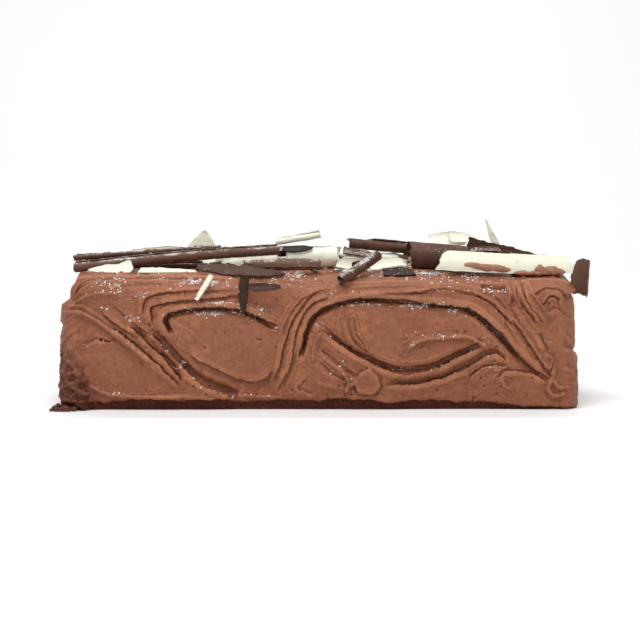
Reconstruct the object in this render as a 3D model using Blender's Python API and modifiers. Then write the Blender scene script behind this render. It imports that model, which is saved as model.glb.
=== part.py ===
"""Yule log cake: a bar of cake under swirled chocolate buttercream, topped with chocolate curls.

Run with: blender --background --python part.py
The cake stands on the plane z = 0, its length along X and its front towards -Y.
Sizes are in millimetres down to the last step, which scales every mesh to metres.
"""

import math

import bmesh
import bpy
import numpy as np
from mathutils import Euler, Matrix, Vector
from mathutils.bvhtree import BVHTree

MILLIMETRE = 0.001

# The cake itself.
LENGTH = 302.0
DEPTH = 100.0
HEIGHT = 79.0
DOME = 1.4
CORNER = (12.0, 12.0, 13.0)
FOOT_HEIGHT = 5.6
FOOT_RECESS = 3.0
HEM_SLOPE = 1.5
HEM_WAVES = (0.9, 9.0, 23.0)
HEM_FALL = (0.75, 60.0, 148.0)

# The left end stands out and steps in near its top, and the right one spreads towards its
# foot: how far each moves, and the heights between which it happens.
LEFT_BULGE = 1.4
LEFT_STEP = (5.2, 60.5, 65.5)
RIGHT_SPREAD = (1.8, 60.0, 8.0)
CELL = 2.0
CAKE_TRIANGLES = 4200

# How bold the strokes are, how sharply a fold's lip stands over its groove, how far its swell
# reaches, and the share of each stroke over which its ends fade out.
RELIEF = 1.25
LIP_EDGE = 0.8
SWELL_REACH = 3.2
STROKE_FADE = 0.12

# The broad swells that any long stroke leaves: height, length along, and length of the drift
# across, then how far the first one bends.
SWELLS = ((0.5, 17.0, 21.0), (0.4, 13.0, 31.0))
SWELL_BEND = 1.3

# Chocolate: the sheet's thickness, how far apart a coil's turns lie, and its smallest inner
# radius as a share of the outer one. Ends are ragged, and each piece sways a little, both as
# shares of its length. GAP is the air kept between two pieces that rest on each other, and a
# coil's sheet is at most MOST_TURNS of its tightest turns wide.
SHEET = 0.9
COIL_PITCH = 1.5
TIGHTEST = 0.3
RAGGED = 0.02
SWAY = 0.01
GAP = 0.35
MOST_TURNS = 2.2
DROP_FROM = 125.0
COIL_GRID = (2, 10)
FLAKE_GRID = (4, 3)

# Folds that the spatula left on the front: a smooth line through a few places (across, up),
# then how far the buttercream stands proud on the line's left, how far it sinks on its right,
# and how far that hollow reaches.
FRONT_FOLDS = (
    (((-82, 13), (-93, 24), (-105, 35), (-121, 48)), 1.2, 1.6, 2.5),
    (((-81, 16), (-90, 27), (-98, 36), (-111, 49)), 1.5, 2.2, 2.5),
    (((-49, 5), (-55, 8), (-70, 14), (-81, 25), (-93, 37), (-99, 45)), 1.6, 1.6, 5.0),
    (((-103, 56), (-103, 63), (-96, 68), (-75, 70), (-46, 71)), 0.9, 1.2, 2.5),
    (((-98, 51), (-99, 59), (-93, 63), (-69, 66), (-46, 68)), 1.1, 1.6, 3.0),
    (((-88, 44), (-92, 53), (-88, 58), (-72, 61), (-55, 61), (-40, 58), (-24, 50)), 1.5, 2.8, 7.0),
    (((-76, 33), (-65, 27), (-55, 22), (-46, 18), (-34, 18), (-28, 24)), 0.8, 1.4, 6.0),
    (((-28, 16), (-24, 27), (-21, 40), (-17, 52), (-11, 61), (-4, 69), (6, 72)), 1.0, 1.3, 2.5),
    (((-26, 11), (-18, 27), (-14, 47), (-6, 62), (6, 67)), 1.0, 1.3, 2.5),
    (((-13, 30), (-10.5, 43), (-6.5, 54), (3, 61.5), (15, 65), (29, 66.5), (55, 65)), 1.6, 3.2, 7.0),
    (((50, 65), (73, 62.5), (90, 59), (104, 48), (118, 32), (130, 21)), 1.6, 2.8, 5.0),
    (((94, 36), (82, 30), (70, 23.5), (54, 20), (47, 20), (31, 26), (15, 35), (3, 45)), 1.6, 1.4, 5.0),
    (((109, 28), (101, 32), (89, 25), (73, 18), (56, 14), (38, 14)), 1.3, 2.0, 3.0),
    (((109, 25), (97, 25), (88, 18)), 0.9, 1.4, 2.0),
    (((21, 18), (9, 27), (0, 35)), 0.8, 1.1, 3.0),
    (((19, 72), (35, 73), (62, 74)), 0.7, 0.8, 2.0),
    (((48, 69), (76, 72), (98, 65), (105, 59), (114, 50)), 0.9, 1.3, 2.5),
    (((113, 54), (120, 43.5), (128, 31.5), (137, 19)), 1.1, 1.4, 2.5),
    (((107, 47), (115, 37), (123, 29), (135, 18)), 1.0, 1.3, 2.5),
    (((115, 78), (116, 67), (123, 57), (127, 51)), 1.0, 1.2, 2.5),
    (((119, 78), (121, 66), (131, 51)), 0.9, 1.1, 2.5),
    (((133, 16), (123, 21), (110, 22), (104, 18)), 0.8, 1.0, 3.0),
    (((124, 68), (131, 73), (140, 72), (146, 65)), 1.0, 1.2, 2.5),
    (((129, 62), (134, 68), (139, 66), (140, 61)), 0.8, 1.0, 2.0),
)

# Beads of buttercream squeezed up between strokes, then furrows drawn through it: the line, the
# height in the middle, below zero for a furrow, and how far it reaches to each side.
FRONT_BEADS = (
    (((-149, 58), (-139, 57), (-129, 52), (-110, 37), (-99, 28)), 1.6, 1.7),
    (((-145, 64), (-139, 74), (-128, 79), (-90, 79), (-46, 78)), 1.2, 1.7),
    (((-145, 68), (-137, 80), (-120, 83), (-46, 82)), 1.2, 1.7),
    (((-146, 32), (-140, 21), (-128, 11), (-111, 8), (-70, 7), (-48, 4)), 1.3, 1.7),
    (((50, 34), (57, 40), (67, 42), (85, 43), (94, 39), (99, 34)), 1.4, 1.7),
    (((1, 46), (-3, 38), (-4, 28)), 1.0, 1.7),
    (((129, 33), (136, 31), (137, 22), (134, 12), (138, 8), (144, 10)), 1.3, 1.7),
    (((-47, 9), (-58, 13), (-72, 20), (-80, 28), (-88, 37), (-99, 48)), -2.4, 2.9),
    (((96, 41), (82, 33), (70, 27.5), (58, 24.5), (44, 24.5), (28, 30.5), (14, 38), (2, 49)), -2.6, 2.9),
    (((-80, 19), (-89, 29), (-97, 38), (-108, 49)), -1.0, 2.2),
    (((107, 32), (100, 35), (88, 28), (73, 20.5), (56, 16.5), (40, 16.5)), -1.0, 2.2),
)

# Every other side carries the same hand's strokes from another stretch of the work: direction
# the side faces, shift of the pattern (across, up), how much it wanders, and its depth.
SIDES = (
    ((0, -1), (0.0, 0.0), 0.0, 1.0),
    ((0, 1), (12.0, 3.0), 9.0, 1.0),
    ((1, 0), (62.0, 0.0), 6.0, 0.6),
    ((-1, 0), (-66.0, -2.0), 6.0, 0.6),
)
TOP_SHIFT = (-30.0, 42.0)
TOP_WANDER = 8.0
TOP_DEPTH = 0.4

# How long the pattern's wanderings are: across the side by height and by length, and up it.
WANDER_LENGTHS = (19.0, 47.0, 29.0)

# A side's strokes begin to count where the surface leans this much towards it, and count in
# full where it leans that much (as cosines).
SIDE_BLEND = (0.1, 0.6)

# The top sags towards the front: how far beside the middle and at the right end, where the sag
# begins and is whole along the cake, and the same across it.
SAG = (1.6, 3.0)
SAG_ALONG = (-75.0, -35.0)
SAG_ACROSS = (-16.0, -42.0)

# The heap of buttercream that ran down the front left corner: its middle at the foot and at
# the top, and its height, reach to each side and thickness at the foot and at the top.
DRIP_FOOT = (-146.0, -46.0)
DRIP_TOP = (-149.5, -42.0)
DRIP_HEIGHT = 37.0
DRIP_REACH = (11.0, 5.0)
DRIP_THICKNESS = (3.4, 1.4)
DRIP_LUMPS = 0.35
DRIP_LUMP_LENGTHS = (1.9, 2.3, 1.7, 2.9)
DRIP_TOP_FADE = 0.1

# Corners closer together than this are one, and lengths below TINY count as none.
WELD = 0.05
TINY = 1e-9


def clear_scene():
    for item in list(bpy.data.objects):
        bpy.data.objects.remove(item, do_unlink=True)


def new_collection(name):
    collection = bpy.data.collections.new(name)
    bpy.context.scene.collection.children.link(collection)
    return collection


def chocolate_material(name, colour, roughness):
    material = bpy.data.materials.new(name)
    material.use_nodes = True
    shader = material.node_tree.nodes["Principled BSDF"]
    shader.inputs["Base Color"].default_value = (*colour, 1.0)
    shader.inputs["Roughness"].default_value = roughness
    shader.inputs["Metallic"].default_value = 0.0
    return material


# ---------------------------------------------------------------- lines and folds

def smooth_line(points, samples=7):
    """Places along a Catmull-Rom curve through the points."""
    knots = np.array(points, dtype=float)
    padded = np.vstack((2 * knots[0] - knots[1], knots, 2 * knots[-1] - knots[-2]))
    share = np.linspace(0.0, 1.0, samples, endpoint=False)[:, None]
    line = []
    for before, start, end, after in zip(padded, padded[1:], padded[2:], padded[3:]):
        pull = 2 * before - 5 * start + 4 * end - after
        bend = 3 * start - before - 3 * end + after
        line.append(start + 0.5 * ((end - before) * share + pull * share**2 + bend * share**3))
    return np.vstack(line + [knots[-1:]])


def follow(across, up, points):
    """Distance of each place to the line, signed + on its left, and a fade towards its ends."""
    line = smooth_line(points)
    nearest = np.full(across.shape, np.inf)
    side = np.ones(across.shape)
    along = np.zeros(across.shape)
    for index, (start, end) in enumerate(zip(line[:-1], line[1:])):
        step = end - start
        from_start = (across - start[0], up - start[1])
        share = (from_start[0] * step[0] + from_start[1] * step[1]) / step.dot(step)
        share = np.clip(share, 0.0, 1.0)
        distance = np.hypot(from_start[0] - share * step[0], from_start[1] - share * step[1])
        closer = distance < nearest
        turn = step[0] * from_start[1] - step[1] * from_start[0]
        nearest[closer] = distance[closer]
        side[closer] = np.where(turn[closer] < 0.0, -1.0, 1.0)
        along[closer] = (index + share[closer]) / (len(line) - 1)
    fade = np.clip(np.minimum(along, 1.0 - along) / STROKE_FADE, 0.0, 1.0)
    return nearest * side, fade * (2.0 - fade)


def fold_relief(across, up, points, proud, sunk, reach):
    offset, fade = follow(across, up, points)
    lip = 0.5 + 0.5 * np.tanh(offset / LIP_EDGE)
    swell = proud * np.exp(-np.abs(offset) / SWELL_REACH)
    hollow = sunk * np.exp(-np.abs(offset) / reach)
    return fade * (lip * swell - (1.0 - lip) * hollow)


def bead_relief(across, up, points, height, reach):
    offset, fade = follow(across, up, points)
    return fade * height * np.exp(-(offset / reach) ** 2)


def spatula_relief(across, up):
    """Height of the buttercream over its mean face, at places given across and up that face."""
    (first_height, first_length, first_drift), (height, length, drift) = SWELLS
    relief = first_height * np.sin(across / first_length + SWELL_BEND * np.sin(up / first_drift))
    relief += height * np.sin(up / length + across / drift)
    for points, proud, sunk, reach in FRONT_FOLDS:
        relief += fold_relief(across, up, points, proud, sunk, reach)
    for points, bead, reach in FRONT_BEADS:
        relief += bead_relief(across, up, points, bead, reach)
    return relief


def wandered(across, up, shift, wander):
    """The pattern's own places for a side, shifted and drawn out so that no two sides match."""
    by_height, by_length, upward = WANDER_LENGTHS
    moved_across = across + shift[0] + wander * np.sin(up / by_height + across / by_length)
    moved_up = up + shift[1] + 0.5 * wander * np.sin(across / upward)
    return moved_across, moved_up


# ---------------------------------------------------------------- the cake

def split_along(bm, axis, cell):
    """Cut every edge that runs along one axis into pieces about one cell long."""
    def runs_along(edge):
        step = edge.verts[1].co - edge.verts[0].co
        return abs(step[axis]) > 0.99 * step.length
    edges = [edge for edge in bm.edges if runs_along(edge)]
    cuts = round(edges[0].calc_length() / cell) - 1
    bmesh.ops.subdivide_edges(bm, edges=edges, cuts=cuts, use_grid_fill=True)


def cut_block():
    bm = bmesh.new()
    bmesh.ops.create_cube(bm, size=1.0)
    bmesh.ops.transform(bm, matrix=Matrix.Diagonal((LENGTH, DEPTH, HEIGHT, 1.0)), verts=bm.verts)
    bmesh.ops.translate(bm, vec=(0.0, 0.0, HEIGHT / 2), verts=bm.verts)
    for axis in range(3):
        split_along(bm, axis, CELL)
    return bm


def round_off(places):
    """Move the block's surface onto a bar with rounded edges; return it and its outward normals."""
    low = np.array((-LENGTH / 2 + CORNER[0], -DEPTH / 2 + CORNER[1], 0.0))
    high = np.array((LENGTH / 2 - CORNER[0], DEPTH / 2 - CORNER[1], HEIGHT - CORNER[2]))
    core = np.clip(places, low, high)
    radii = np.array(CORNER)
    square = (places - core) / radii
    length = np.maximum(np.linalg.norm(square, axis=1, keepdims=True), TINY)
    rounded = square * np.abs(square).max(axis=1, keepdims=True) / length
    normals = rounded / radii
    normals /= np.maximum(np.linalg.norm(normals, axis=1, keepdims=True), TINY)
    return core + rounded * radii, normals


def eased(values, start, end):
    """0 before the start and 1 past the end, with a smooth rise between."""
    share = np.clip((values - start) / (end - start), 0.0, 1.0)
    return share * share * (3.0 - 2.0 * share)


def share_of(facing):
    """How much a side's strokes count where the surface faces it by this much."""
    return eased(facing, *SIDE_BLEND)


def cake_relief(places, normals):
    """Relief over the whole cake, each side's strokes giving way to the next round the edges."""
    tilt = np.arcsin(np.clip(normals[:, 2], 0.0, 1.0))
    unrolled = np.minimum(places[:, 2], HEIGHT - CORNER[2]) + CORNER[2] * tilt
    relief = np.zeros(len(places))
    total = np.full(len(places), 1e-6)
    for facing, shift, wander, depth in SIDES:
        share = share_of(normals[:, :2] @ np.array(facing))
        across = places[:, :2] @ np.array((-facing[1], facing[0]))
        relief += share * depth * spatula_relief(*wandered(across, unrolled, shift, wander))
        total += share
    share = share_of(normals[:, 2])
    across, back = wandered(places[:, 0], places[:, 1], TOP_SHIFT, TOP_WANDER)
    relief += share * TOP_DEPTH * spatula_relief(across, back)
    return RELIEF * relief / (total + share)


def drip_relief(places):
    """A lumpy heap against the front left corner, wide at the foot and narrow at the top."""
    x, y, z = places.T
    rise = np.clip(z / DRIP_HEIGHT, 0.0, 1.0)
    middle_x = DRIP_FOOT[0] + (DRIP_TOP[0] - DRIP_FOOT[0]) * rise
    middle_y = DRIP_FOOT[1] + (DRIP_TOP[1] - DRIP_FOOT[1]) * rise
    reach = DRIP_REACH[0] + (DRIP_REACH[1] - DRIP_REACH[0]) * np.sqrt(rise)
    thickness = DRIP_THICKNESS[0] + (DRIP_THICKNESS[1] - DRIP_THICKNESS[0]) * rise
    away = np.hypot(x - middle_x, y - middle_y) / reach
    first, second, third, fourth = DRIP_LUMP_LENGTHS
    lumps = np.sin(x / first + z / second) * np.sin(z / third - y / fourth)
    fade = np.clip((1.0 - rise) / DRIP_TOP_FADE, 0.0, 1.0)
    return thickness * fade * np.exp(-away**4) * (1.0 + DRIP_LUMPS * lumps)


def top_rise(places):
    """How far the top stands over a flat one: domed along its middle, sagging at the front."""
    near_top = np.clip((places[:, 2] - HEIGHT + CORNER[2]) / CORNER[2], 0.0, 1.0)
    dome = DOME * np.cos(math.pi * np.clip(places[:, 1] / DEPTH, -0.5, 0.5))
    sag = SAG[0] + (SAG[1] - SAG[0]) * np.clip(2 * places[:, 0] / LENGTH, 0.0, 1.0)
    sag = sag * eased(places[:, 0], *SAG_ALONG) * eased(places[:, 1], *SAG_ACROSS)
    return near_top * (dome - sag)


def end_lean(places, normals):
    """How far the ends stand out of a straight bar's."""
    left = LEFT_BULGE - LEFT_STEP[0] * eased(places[:, 2], *LEFT_STEP[1:])
    right = RIGHT_SPREAD[0] * eased(places[:, 2], *RIGHT_SPREAD[1:])
    return left * share_of(-normals[:, 0]) + right * share_of(normals[:, 0])


def foot_inset(places, normals):
    """How far front and back draw in over the bare foot, below the buttercream's ragged hem."""
    x, y, z = places.T
    height, short, long = HEM_WAVES
    hem = FOOT_HEIGHT * (1.0 - HEM_FALL[0] * eased(x, *HEM_FALL[1:]))
    hem += height * np.sin(x / short) * np.sin(x / long + y)
    return FOOT_RECESS * normals[:, 1] ** 2 * np.clip((hem - z) / HEM_SLOPE, 0.0, 1.0)


def build_cake(collection, material):
    bm = cut_block()
    places = np.array([vertex.co for vertex in bm.verts])
    surface, normals = round_off(places)
    on_base = places[:, 2] < WELD
    lift = cake_relief(surface, normals) + drip_relief(surface) + end_lean(surface, normals)
    lift -= foot_inset(surface, normals)
    surface = surface + normals * (lift * ~on_base)[:, None]
    surface[on_base, 1] *= 1.0 - 2 * FOOT_RECESS / DEPTH
    surface[on_base, 2] = 0.0
    surface[:, 2] = np.maximum(surface[:, 2], 0.0)
    surface[:, 2] += top_rise(surface)
    for vertex, place in zip(bm.verts, surface):
        vertex.co = place
    bmesh.ops.remove_doubles(bm, verts=bm.verts, dist=WELD)
    bmesh.ops.triangulate(bm, faces=bm.faces)
    cake = add_object("cake_log", bm, material, collection)
    thin = cake.modifiers.new("Decimate", "DECIMATE")
    thin.ratio = CAKE_TRIANGLES / len(cake.data.polygons)
    return cake


# ---------------------------------------------------------------- chocolate shavings

# Each shaving, from the bottom of the heap to the top: name, colour, coiled or flat, length,
# width of the sheet before it curled, radius of the curl (a coil's outer one), then the form:
# width at the start, belly and end as shares, and how far the first edge runs past the last
# at the start and at the end. Then its place (x, y) and turns (yaw, pitch, roll) in degrees.
# Pitch lifts the right end, and roll turns the face to the front.
TOPPINGS = (
    ("white_flake_front_left", "white", "flat", 25.5, 9, 9, (0.15, 0.2, 1.0, 0, 0), (-123.5, -37), (2, 3, 48)),
    ("white_stick_front_left", "white", "flat", 35, 5, 5, (1.0, 0.1, 0.4, 0, 0), (-88, -40), (0, 0, 35)),
    ("dark_shard_front", "dark", "flat", 52, 9, 12, (0.35, 0.7, 0.12, 0, 0), (-46, -41), (-2, -3, 50)),
    ("dark_curl_front_centre", "dark", "coil", 45, 30, 3.9, (1, 0, 1, 0, 0), (-22, -31), (0, 1, 200)),
    ("white_curl_centre", "white", "coil", 33, 34, 7.3, (1, 0, 1, 0, -3), (-3, -13), (3, 1, 120)),
    ("white_sheet_left_centre", "white", "flat", 33, 14, 11, (0.6, 0.3, 1.0, 3, 0), (-41, -16), (4, 2, 44)),
    ("dark_curl_long", "dark", "coil", 120, 26, 3.5, (1, 0, 1, 2, 1), (-84, -27), (6.6, 4.2, 60)),
    ("dark_stick_long", "dark", "coil", 87, 9, 1.9, (1, 0, 1, 0, 0), (-102.5, -23.6), (6.6, 3.8, 10)),
    ("white_flake_mid_left", "white", "flat", 14, 11, 6, (0.7, 0.3, 0.8, 2, 0), (18, -24), (-4, 0, 60)),
    ("white_flake_mid_right", "white", "flat", 20, 10, 7, (1.0, 0.1, 0.7, 0, 2), (40, -22), (3, 2, 58)),
    ("dark_flake_front_mid", "dark", "flat", 17, 9, 12, (0.8, 0.3, 0.7, 0, 2), (46, -39), (2, 0, 30)),
    ("white_curl_under_mid", "white", "coil", 32, 28, 4.6, (1, 0, 1, 0, 0), (32, -4), (6, 0, 0)),
    ("grey_flake_front", "dark", "flat", 13, 7, 9, (0.6, 0.3, 0.6, 0, 0), (66, -37), (-3, 0, 18)),
    ("dark_curl_diagonal", "dark", "coil", 33, 24, 3.3, (1, 0, 1, 0, 0), (23, -41), (40, 24, 270)),
    ("dark_curl_small_mid", "dark", "coil", 9, 12, 2.0, (1, 0, 1, 0, 0), (24.5, -28), (24, 8, 30)),
    ("dark_curl_broad", "dark", "coil", 35, 40, 8.6, (1, 0, 0.8, 6, -7), (74, -17.5), (-4, -5, 345)),
    ("dark_shard_mid_left", "dark", "flat", 20, 7, 8, (0.9, 0.3, 0.3, 0, 0), (25, -8), (-8, -8, 36)),
    ("dark_curl_rough", "dark", "coil", 38, 24, 3.7, (0.7, 0.3, 1, 3, 0), (39, -3.5), (-3, -6, 45)),
    ("white_curl_long_right", "white", "flat", 81.5, 18.5, 9.5, (1, 0.1, 0.9, -10, 0), (109, -35), (2, -1.8, 222)),
    ("dark_flake_behind_right", "dark", "flat", 58, 22, 20, (1.0, 0.0, 0.08, 0, 0), (119, -8), (0, -5, 72)),
    ("white_strip_left", "white", "flat", 51, 13, 18, (0.7, 0.2, 0.9, 0, 0), (-89, -4), (-2, 1, 68)),
    ("dark_curl_rear_left", "dark", "coil", 46, 34, 4.6, (1, 0, 1, 0, 0), (-84, 18), (12, 0, 0)),
    ("dark_curl_rear_edge", "dark", "coil", 76, 26, 3.4, (1, 0, 1, 0, 0), (-103, 37), (-3, 0, 150)),
    ("white_flake_rear_left", "white", "flat", 33, 13, 12, (0.4, 0.5, 0.7, 0, 0), (-129, 14), (18, 0, 6)),
    ("white_curl_rear_left", "white", "coil", 50, 34, 5.2, (1, 0, 0.9, 3, 0), (-34, 33), (5, 0, 80)),
    ("dark_curl_rear_centre", "dark", "coil", 40, 40, 6.4, (1, 0, 1, 0, 4), (-12, 17), (-4, 0, 210)),
    ("dark_flake_rear_mid", "dark", "flat", 44, 18, 22, (0.5, 0.5, 0.8, 0, 0), (33, 20), (-18, 0, 12)),
    ("white_curl_rear_mid", "white", "coil", 47, 42, 7.4, (1, 0, 0.8, 5, -4), (84, 13), (-4, 0, 130)),
    ("dark_curl_rear_mid", "dark", "coil", 62, 28, 4.0, (1, 0, 1, 0, 0), (49, 38), (5, 0, 20)),
    ("dark_curl_rear_right", "dark", "coil", 50, 24, 3.6, (1, 0, 1, 0, 0), (118, 25), (-8, 0, 280)),
    ("white_flake_rear_right", "white", "flat", 40, 16, 20, (0.8, 0.3, 0.3, 0, 0), (119, 39), (4, 0, -14)),
    ("dark_flake_right", "dark", "flat", 32, 13, 16, (0.9, 0.3, 0.4, 0, 0), (131, 7), (-24, 0, 10)),
    ("white_stick_rear", "white", "flat", 34, 6, 6, (0.5, 0.4, 1.0, 0, 0), (2, 43), (-6, 0, -20)),
    ("dark_shard_left", "dark", "flat", 30, 8, 12, (0.3, 0.5, 0.7, 0, 0), (-131, -8), (30, 0, 10)),
    ("dark_curl_top_left", "dark", "coil", 44, 22, 2.6, (1, 0, 0.9, 0, 3), (-93, -14), (4, 0, 30)),
    ("white_curl_top_left", "white", "coil", 22, 20, 2.8, (0.9, 0, 1, 3, 0), (-47, 20), (0, 0, 100)),
    ("dark_curl_top_centre", "dark", "coil", 38, 26, 3.6, (1, 0, 1, 0, 0), (-33, 2), (-12, 0, 330)),
    ("white_curl_top_centre", "white", "coil", 22, 22, 3.2, (1, 0, 0.8, 0, 4), (4.5, 31), (-6, 0, 60)),
    ("dark_curl_top_right", "dark", "coil", 30, 22, 2.7, (1, 0, 1, 2, 0), (74, 28), (2, 0, 200)),
    ("white_curl_top_right", "white", "coil", 34, 22, 3.0, (1, 0, 0.9, 0, 3), (112, 9), (-16, 0, 20)),
    ("dark_curl_left_end", "dark", "coil", 20, 16, 2.2, (1, 0, 1, 0, 0), (-131, 27), (-8, 0, 90)),
    ("white_flake_rear_edge", "white", "flat", 24, 10, 7, (0.7, 0.3, 0.5, 2, -2), (-51, 44), (4, 0, -14)),
    ("dark_flake_front_right", "dark", "flat", 18, 8, 5, (0.6, 0.4, 0.7, 0, 2), (99, -22), (6, 0, 20)),
    ("white_curl_small_right", "white", "coil", 15, 16, 2.4, (1, 0, 1, 2, 0), (139, -15), (28, 0, 140)),
    ("dark_curl_small_left", "dark", "coil", 24, 16, 2.3, (1, 0, 0.9, 0, 2), (-127, -17), (16, 0, 50)),
    ("white_flake_tall_left", "white", "flat", 21, 36, 50, (0.85, 0.1, 0.06, 0, 0), (-71, 3), (6, 86, 80)),
    ("white_curl_raised", "white", "coil", 28, 18, 2.7, (0.8, 0, 1, 0, 0), (-13, 19), (4, 9, 0)),
    ("black_shard_centre", "dark", "flat", 18, 5, 8, (0.6, 0.5, 0.2, 0, 0), (-13, -19), (2, 2, 55)),
    ("white_flake_top_left", "white", "flat", 22, 12, 12, (0.7, 0.3, 0.7, 0, 0), (80, 11), (-6, 2, 54)),
    ("white_flake_top_right", "white", "flat", 20, 10, 10, (0.9, 0.2, 0.4, 0, 0), (90, 8), (14, -4, 45)),
    ("white_spike", "white", "flat", 30, 9, 14, (1.0, 0.0, 0.06, 0, 0), (108, 3), (8, 113, 80)),
    ("dark_stick_top", "dark", "flat", 40, 5, 7, (0.6, 0.5, 0.8, 0, 0), (-40, 10), (-14, 0, 20)),
)

# Shavings that cling to a side: the same values, but a whole place (x, y, z) to start from,
# and the direction in which each is pushed until it touches.
CLINGING = (
    ("dark_stick_upright", "dark", "flat", 20, 5, 6, (0.5, 0.3, 1.0, 0, 0),
     (-44, -80, 68), (0, 90, 90), (0, 1, 0)),
    ("dark_shard_shoulder", "dark", "flat", 19, 6, 9, (0.6, 0.4, 0.3, 0, 0),
     (-32, -80, 72.5), (0, 0, 60), (0, 1, 0)),
    ("white_stick_leaning", "white", "flat", 17, 3, 5, (0.8, 0.2, 1.0, 0, 0),
     (-67, -80, 72), (0, 57, 68), (0, 1, 0)),
    ("dark_flake_right_end", "dark", "flat", 21.5, 20, 12, (0.8, 0.3, 0.6, 0, 0),
     (180, -24, 76), (-54, 84, 80), (-1, 0, 0)),
    ("white_flake_rear_side", "white", "flat", 22, 8, 10, (0.3, 0.4, 0.9, 0, 0),
     (64, 80, 70), (0, 35, -72), (0, -1, 0)),
    ("dark_shard_rear_side", "dark", "flat", 26, 6, 9, (0.3, 0.5, 0.6, 0, 0),
     (-88, 80, 71), (0, -12, -68), (0, -1, 0)),
)


def coil_section(arc, radius, width):
    """Angle and radius along a sheet coiled from inside out to the given outer radius."""
    turn_growth = COIL_PITCH / (2 * math.pi)
    inner_square = radius**2 - 2 * turn_growth * width
    inner = math.sqrt(max(inner_square, (TIGHTEST * radius) ** 2))
    radii = np.sqrt(inner**2 + 2 * turn_growth * arc)
    return (radii - inner) / turn_growth, radii


def shaving_sheet(form, length, width, radius, shape, seed):
    """The sheet's places as a grid, rows along the shaving and columns round its curl."""
    start, belly, end, start_slant, end_slant = shape
    tightest = 2 * math.pi * TIGHTEST * radius + COIL_PITCH
    rows, columns = COIL_GRID if form == "coil" else FLAKE_GRID
    scatter = np.random.RandomState(seed)
    along = np.linspace(0.0, 1.0, rows + 1)
    share = start + (end - start) * along + 4 * belly * along * (1 - along)
    width = min(width, tightest * MOST_TURNS) if form == "coil" else width
    grid = np.zeros((rows + 1, columns + 1, 3))
    for row, part in enumerate(along):
        arc = np.linspace(0.0, 1.0, columns + 1) * width * share[row]
        if form == "coil":
            angle, radii = coil_section(arc, radius, width)
            height = radii * np.sin(angle)
        else:
            angle = (arc - arc[-1] / 2) / radius - math.pi / 2
            radii = np.full(columns + 1, float(radius))
            height = radii * (np.sin(angle) + 1.0)
        ragged = scatter.uniform(-1.0, 1.0, columns + 1) * RAGGED * length * (part in (0.0, 1.0))
        first_edge = np.linspace(1.0, 0.0, columns + 1)
        slant = ((part == 1.0) * end_slant - (part == 0.0) * start_slant) * first_edge
        grid[row, :, 0] = (part - 0.5) * length + ragged + slant
        grid[row, :, 1] = radii * np.cos(angle) + SWAY * length * math.sin(3.0 * part + seed)
        grid[row, :, 2] = height
    return grid


def sheet_mesh(grid):
    """A quad mesh over a grid of places, made from Blender's own grid primitive."""
    rows, columns = grid.shape[0] - 1, grid.shape[1] - 1
    bm = bmesh.new()
    bmesh.ops.create_grid(bm, x_segments=columns, y_segments=rows, size=0.5)
    for vertex in bm.verts:
        row = round((vertex.co.y + 0.5) * rows)
        column = round((vertex.co.x + 0.5) * columns)
        vertex.co = grid[row, column]
    return bm


def turned(yaw, pitch, roll):
    angles = Euler((math.radians(roll), -math.radians(pitch), math.radians(yaw)), "XYZ")
    return angles.to_matrix().to_4x4()


def add_object(name, bm, material, collection):
    bm.normal_update()
    bmesh.ops.recalc_face_normals(bm, faces=bm.faces)
    mesh = bpy.data.meshes.new(name)
    bm.to_mesh(mesh)
    bm.free()
    mesh.transform(Matrix.Scale(MILLIMETRE, 4))
    mesh.materials.append(material)
    mesh.shade_smooth()
    item = bpy.data.objects.new(name, mesh)
    collection.objects.link(item)
    return item


def solid_surface(item, swollen):
    """The finished surface of an object in its place, swollen by the given distance."""
    bpy.context.view_layer.update()
    finished = item.evaluated_get(bpy.context.evaluated_depsgraph_get())
    mesh = finished.to_mesh()
    mesh.transform(item.matrix_world)
    places = np.array([vertex.co + swollen * vertex.normal for vertex in mesh.vertices])
    faces = [tuple(face.vertices) for face in mesh.polygons]
    finished.to_mesh_clear()
    return places, faces


def settle(item, direction, others, coarse=0.001, fine=0.0002):
    """Move an object along a direction until it all but touches what is already there."""
    direction = Vector(direction).normalized()
    places, faces = solid_surface(item, GAP * MILLIMETRE)

    def touches(distance):
        moved = places + np.array(direction) * distance
        return bool(BVHTree.FromPolygons(moved.tolist(), faces).overlap(others))

    distance = 0.0
    while not touches(distance + coarse):
        distance += coarse
    while not touches(distance + fine):
        distance += fine
    item.location += direction * distance


def add_shaving(row, seed, collection, materials):
    name, colour, form, length, width, radius, shape, place, turns = row
    grid = shaving_sheet(form, length, width, radius, shape, seed)
    item = add_object(name, sheet_mesh(grid), materials[colour], collection)
    shell = item.modifiers.new("Solidify", "SOLIDIFY")
    shell.thickness = SHEET * MILLIMETRE
    shell.offset = 0.0
    item.location = Vector(place) * MILLIMETRE
    item.rotation_euler = turned(*turns).to_euler()
    return item


def joined_surfaces(items):
    """One search tree over the finished surfaces of several objects."""
    all_places, all_faces = [], []
    for item in items:
        places, faces = solid_surface(item, 0.0)
        start = len(all_places)
        all_places.extend(places.tolist())
        all_faces.extend(tuple(corner + start for corner in face) for face in faces)
    return BVHTree.FromPolygons(all_places, all_faces)


def build_toppings(collection, cake):
    materials = {
        "dark": chocolate_material("dark_chocolate", (0.030, 0.016, 0.012), 0.5),
        "white": chocolate_material("white_chocolate", (0.80, 0.76, 0.60), 0.42),
    }
    placed = [cake]
    for seed, row in enumerate(TOPPINGS):
        row = row[:7] + ((*row[7], DROP_FROM), row[8])
        item = add_shaving(row, seed, collection, materials)
        settle(item, (0, 0, -1), joined_surfaces(placed))
        placed.append(item)
    for seed, row in enumerate(CLINGING, start=len(TOPPINGS)):
        item = add_shaving(row[:9], seed, collection, materials)
        settle(item, row[9], joined_surfaces(placed))
        placed.append(item)


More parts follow.
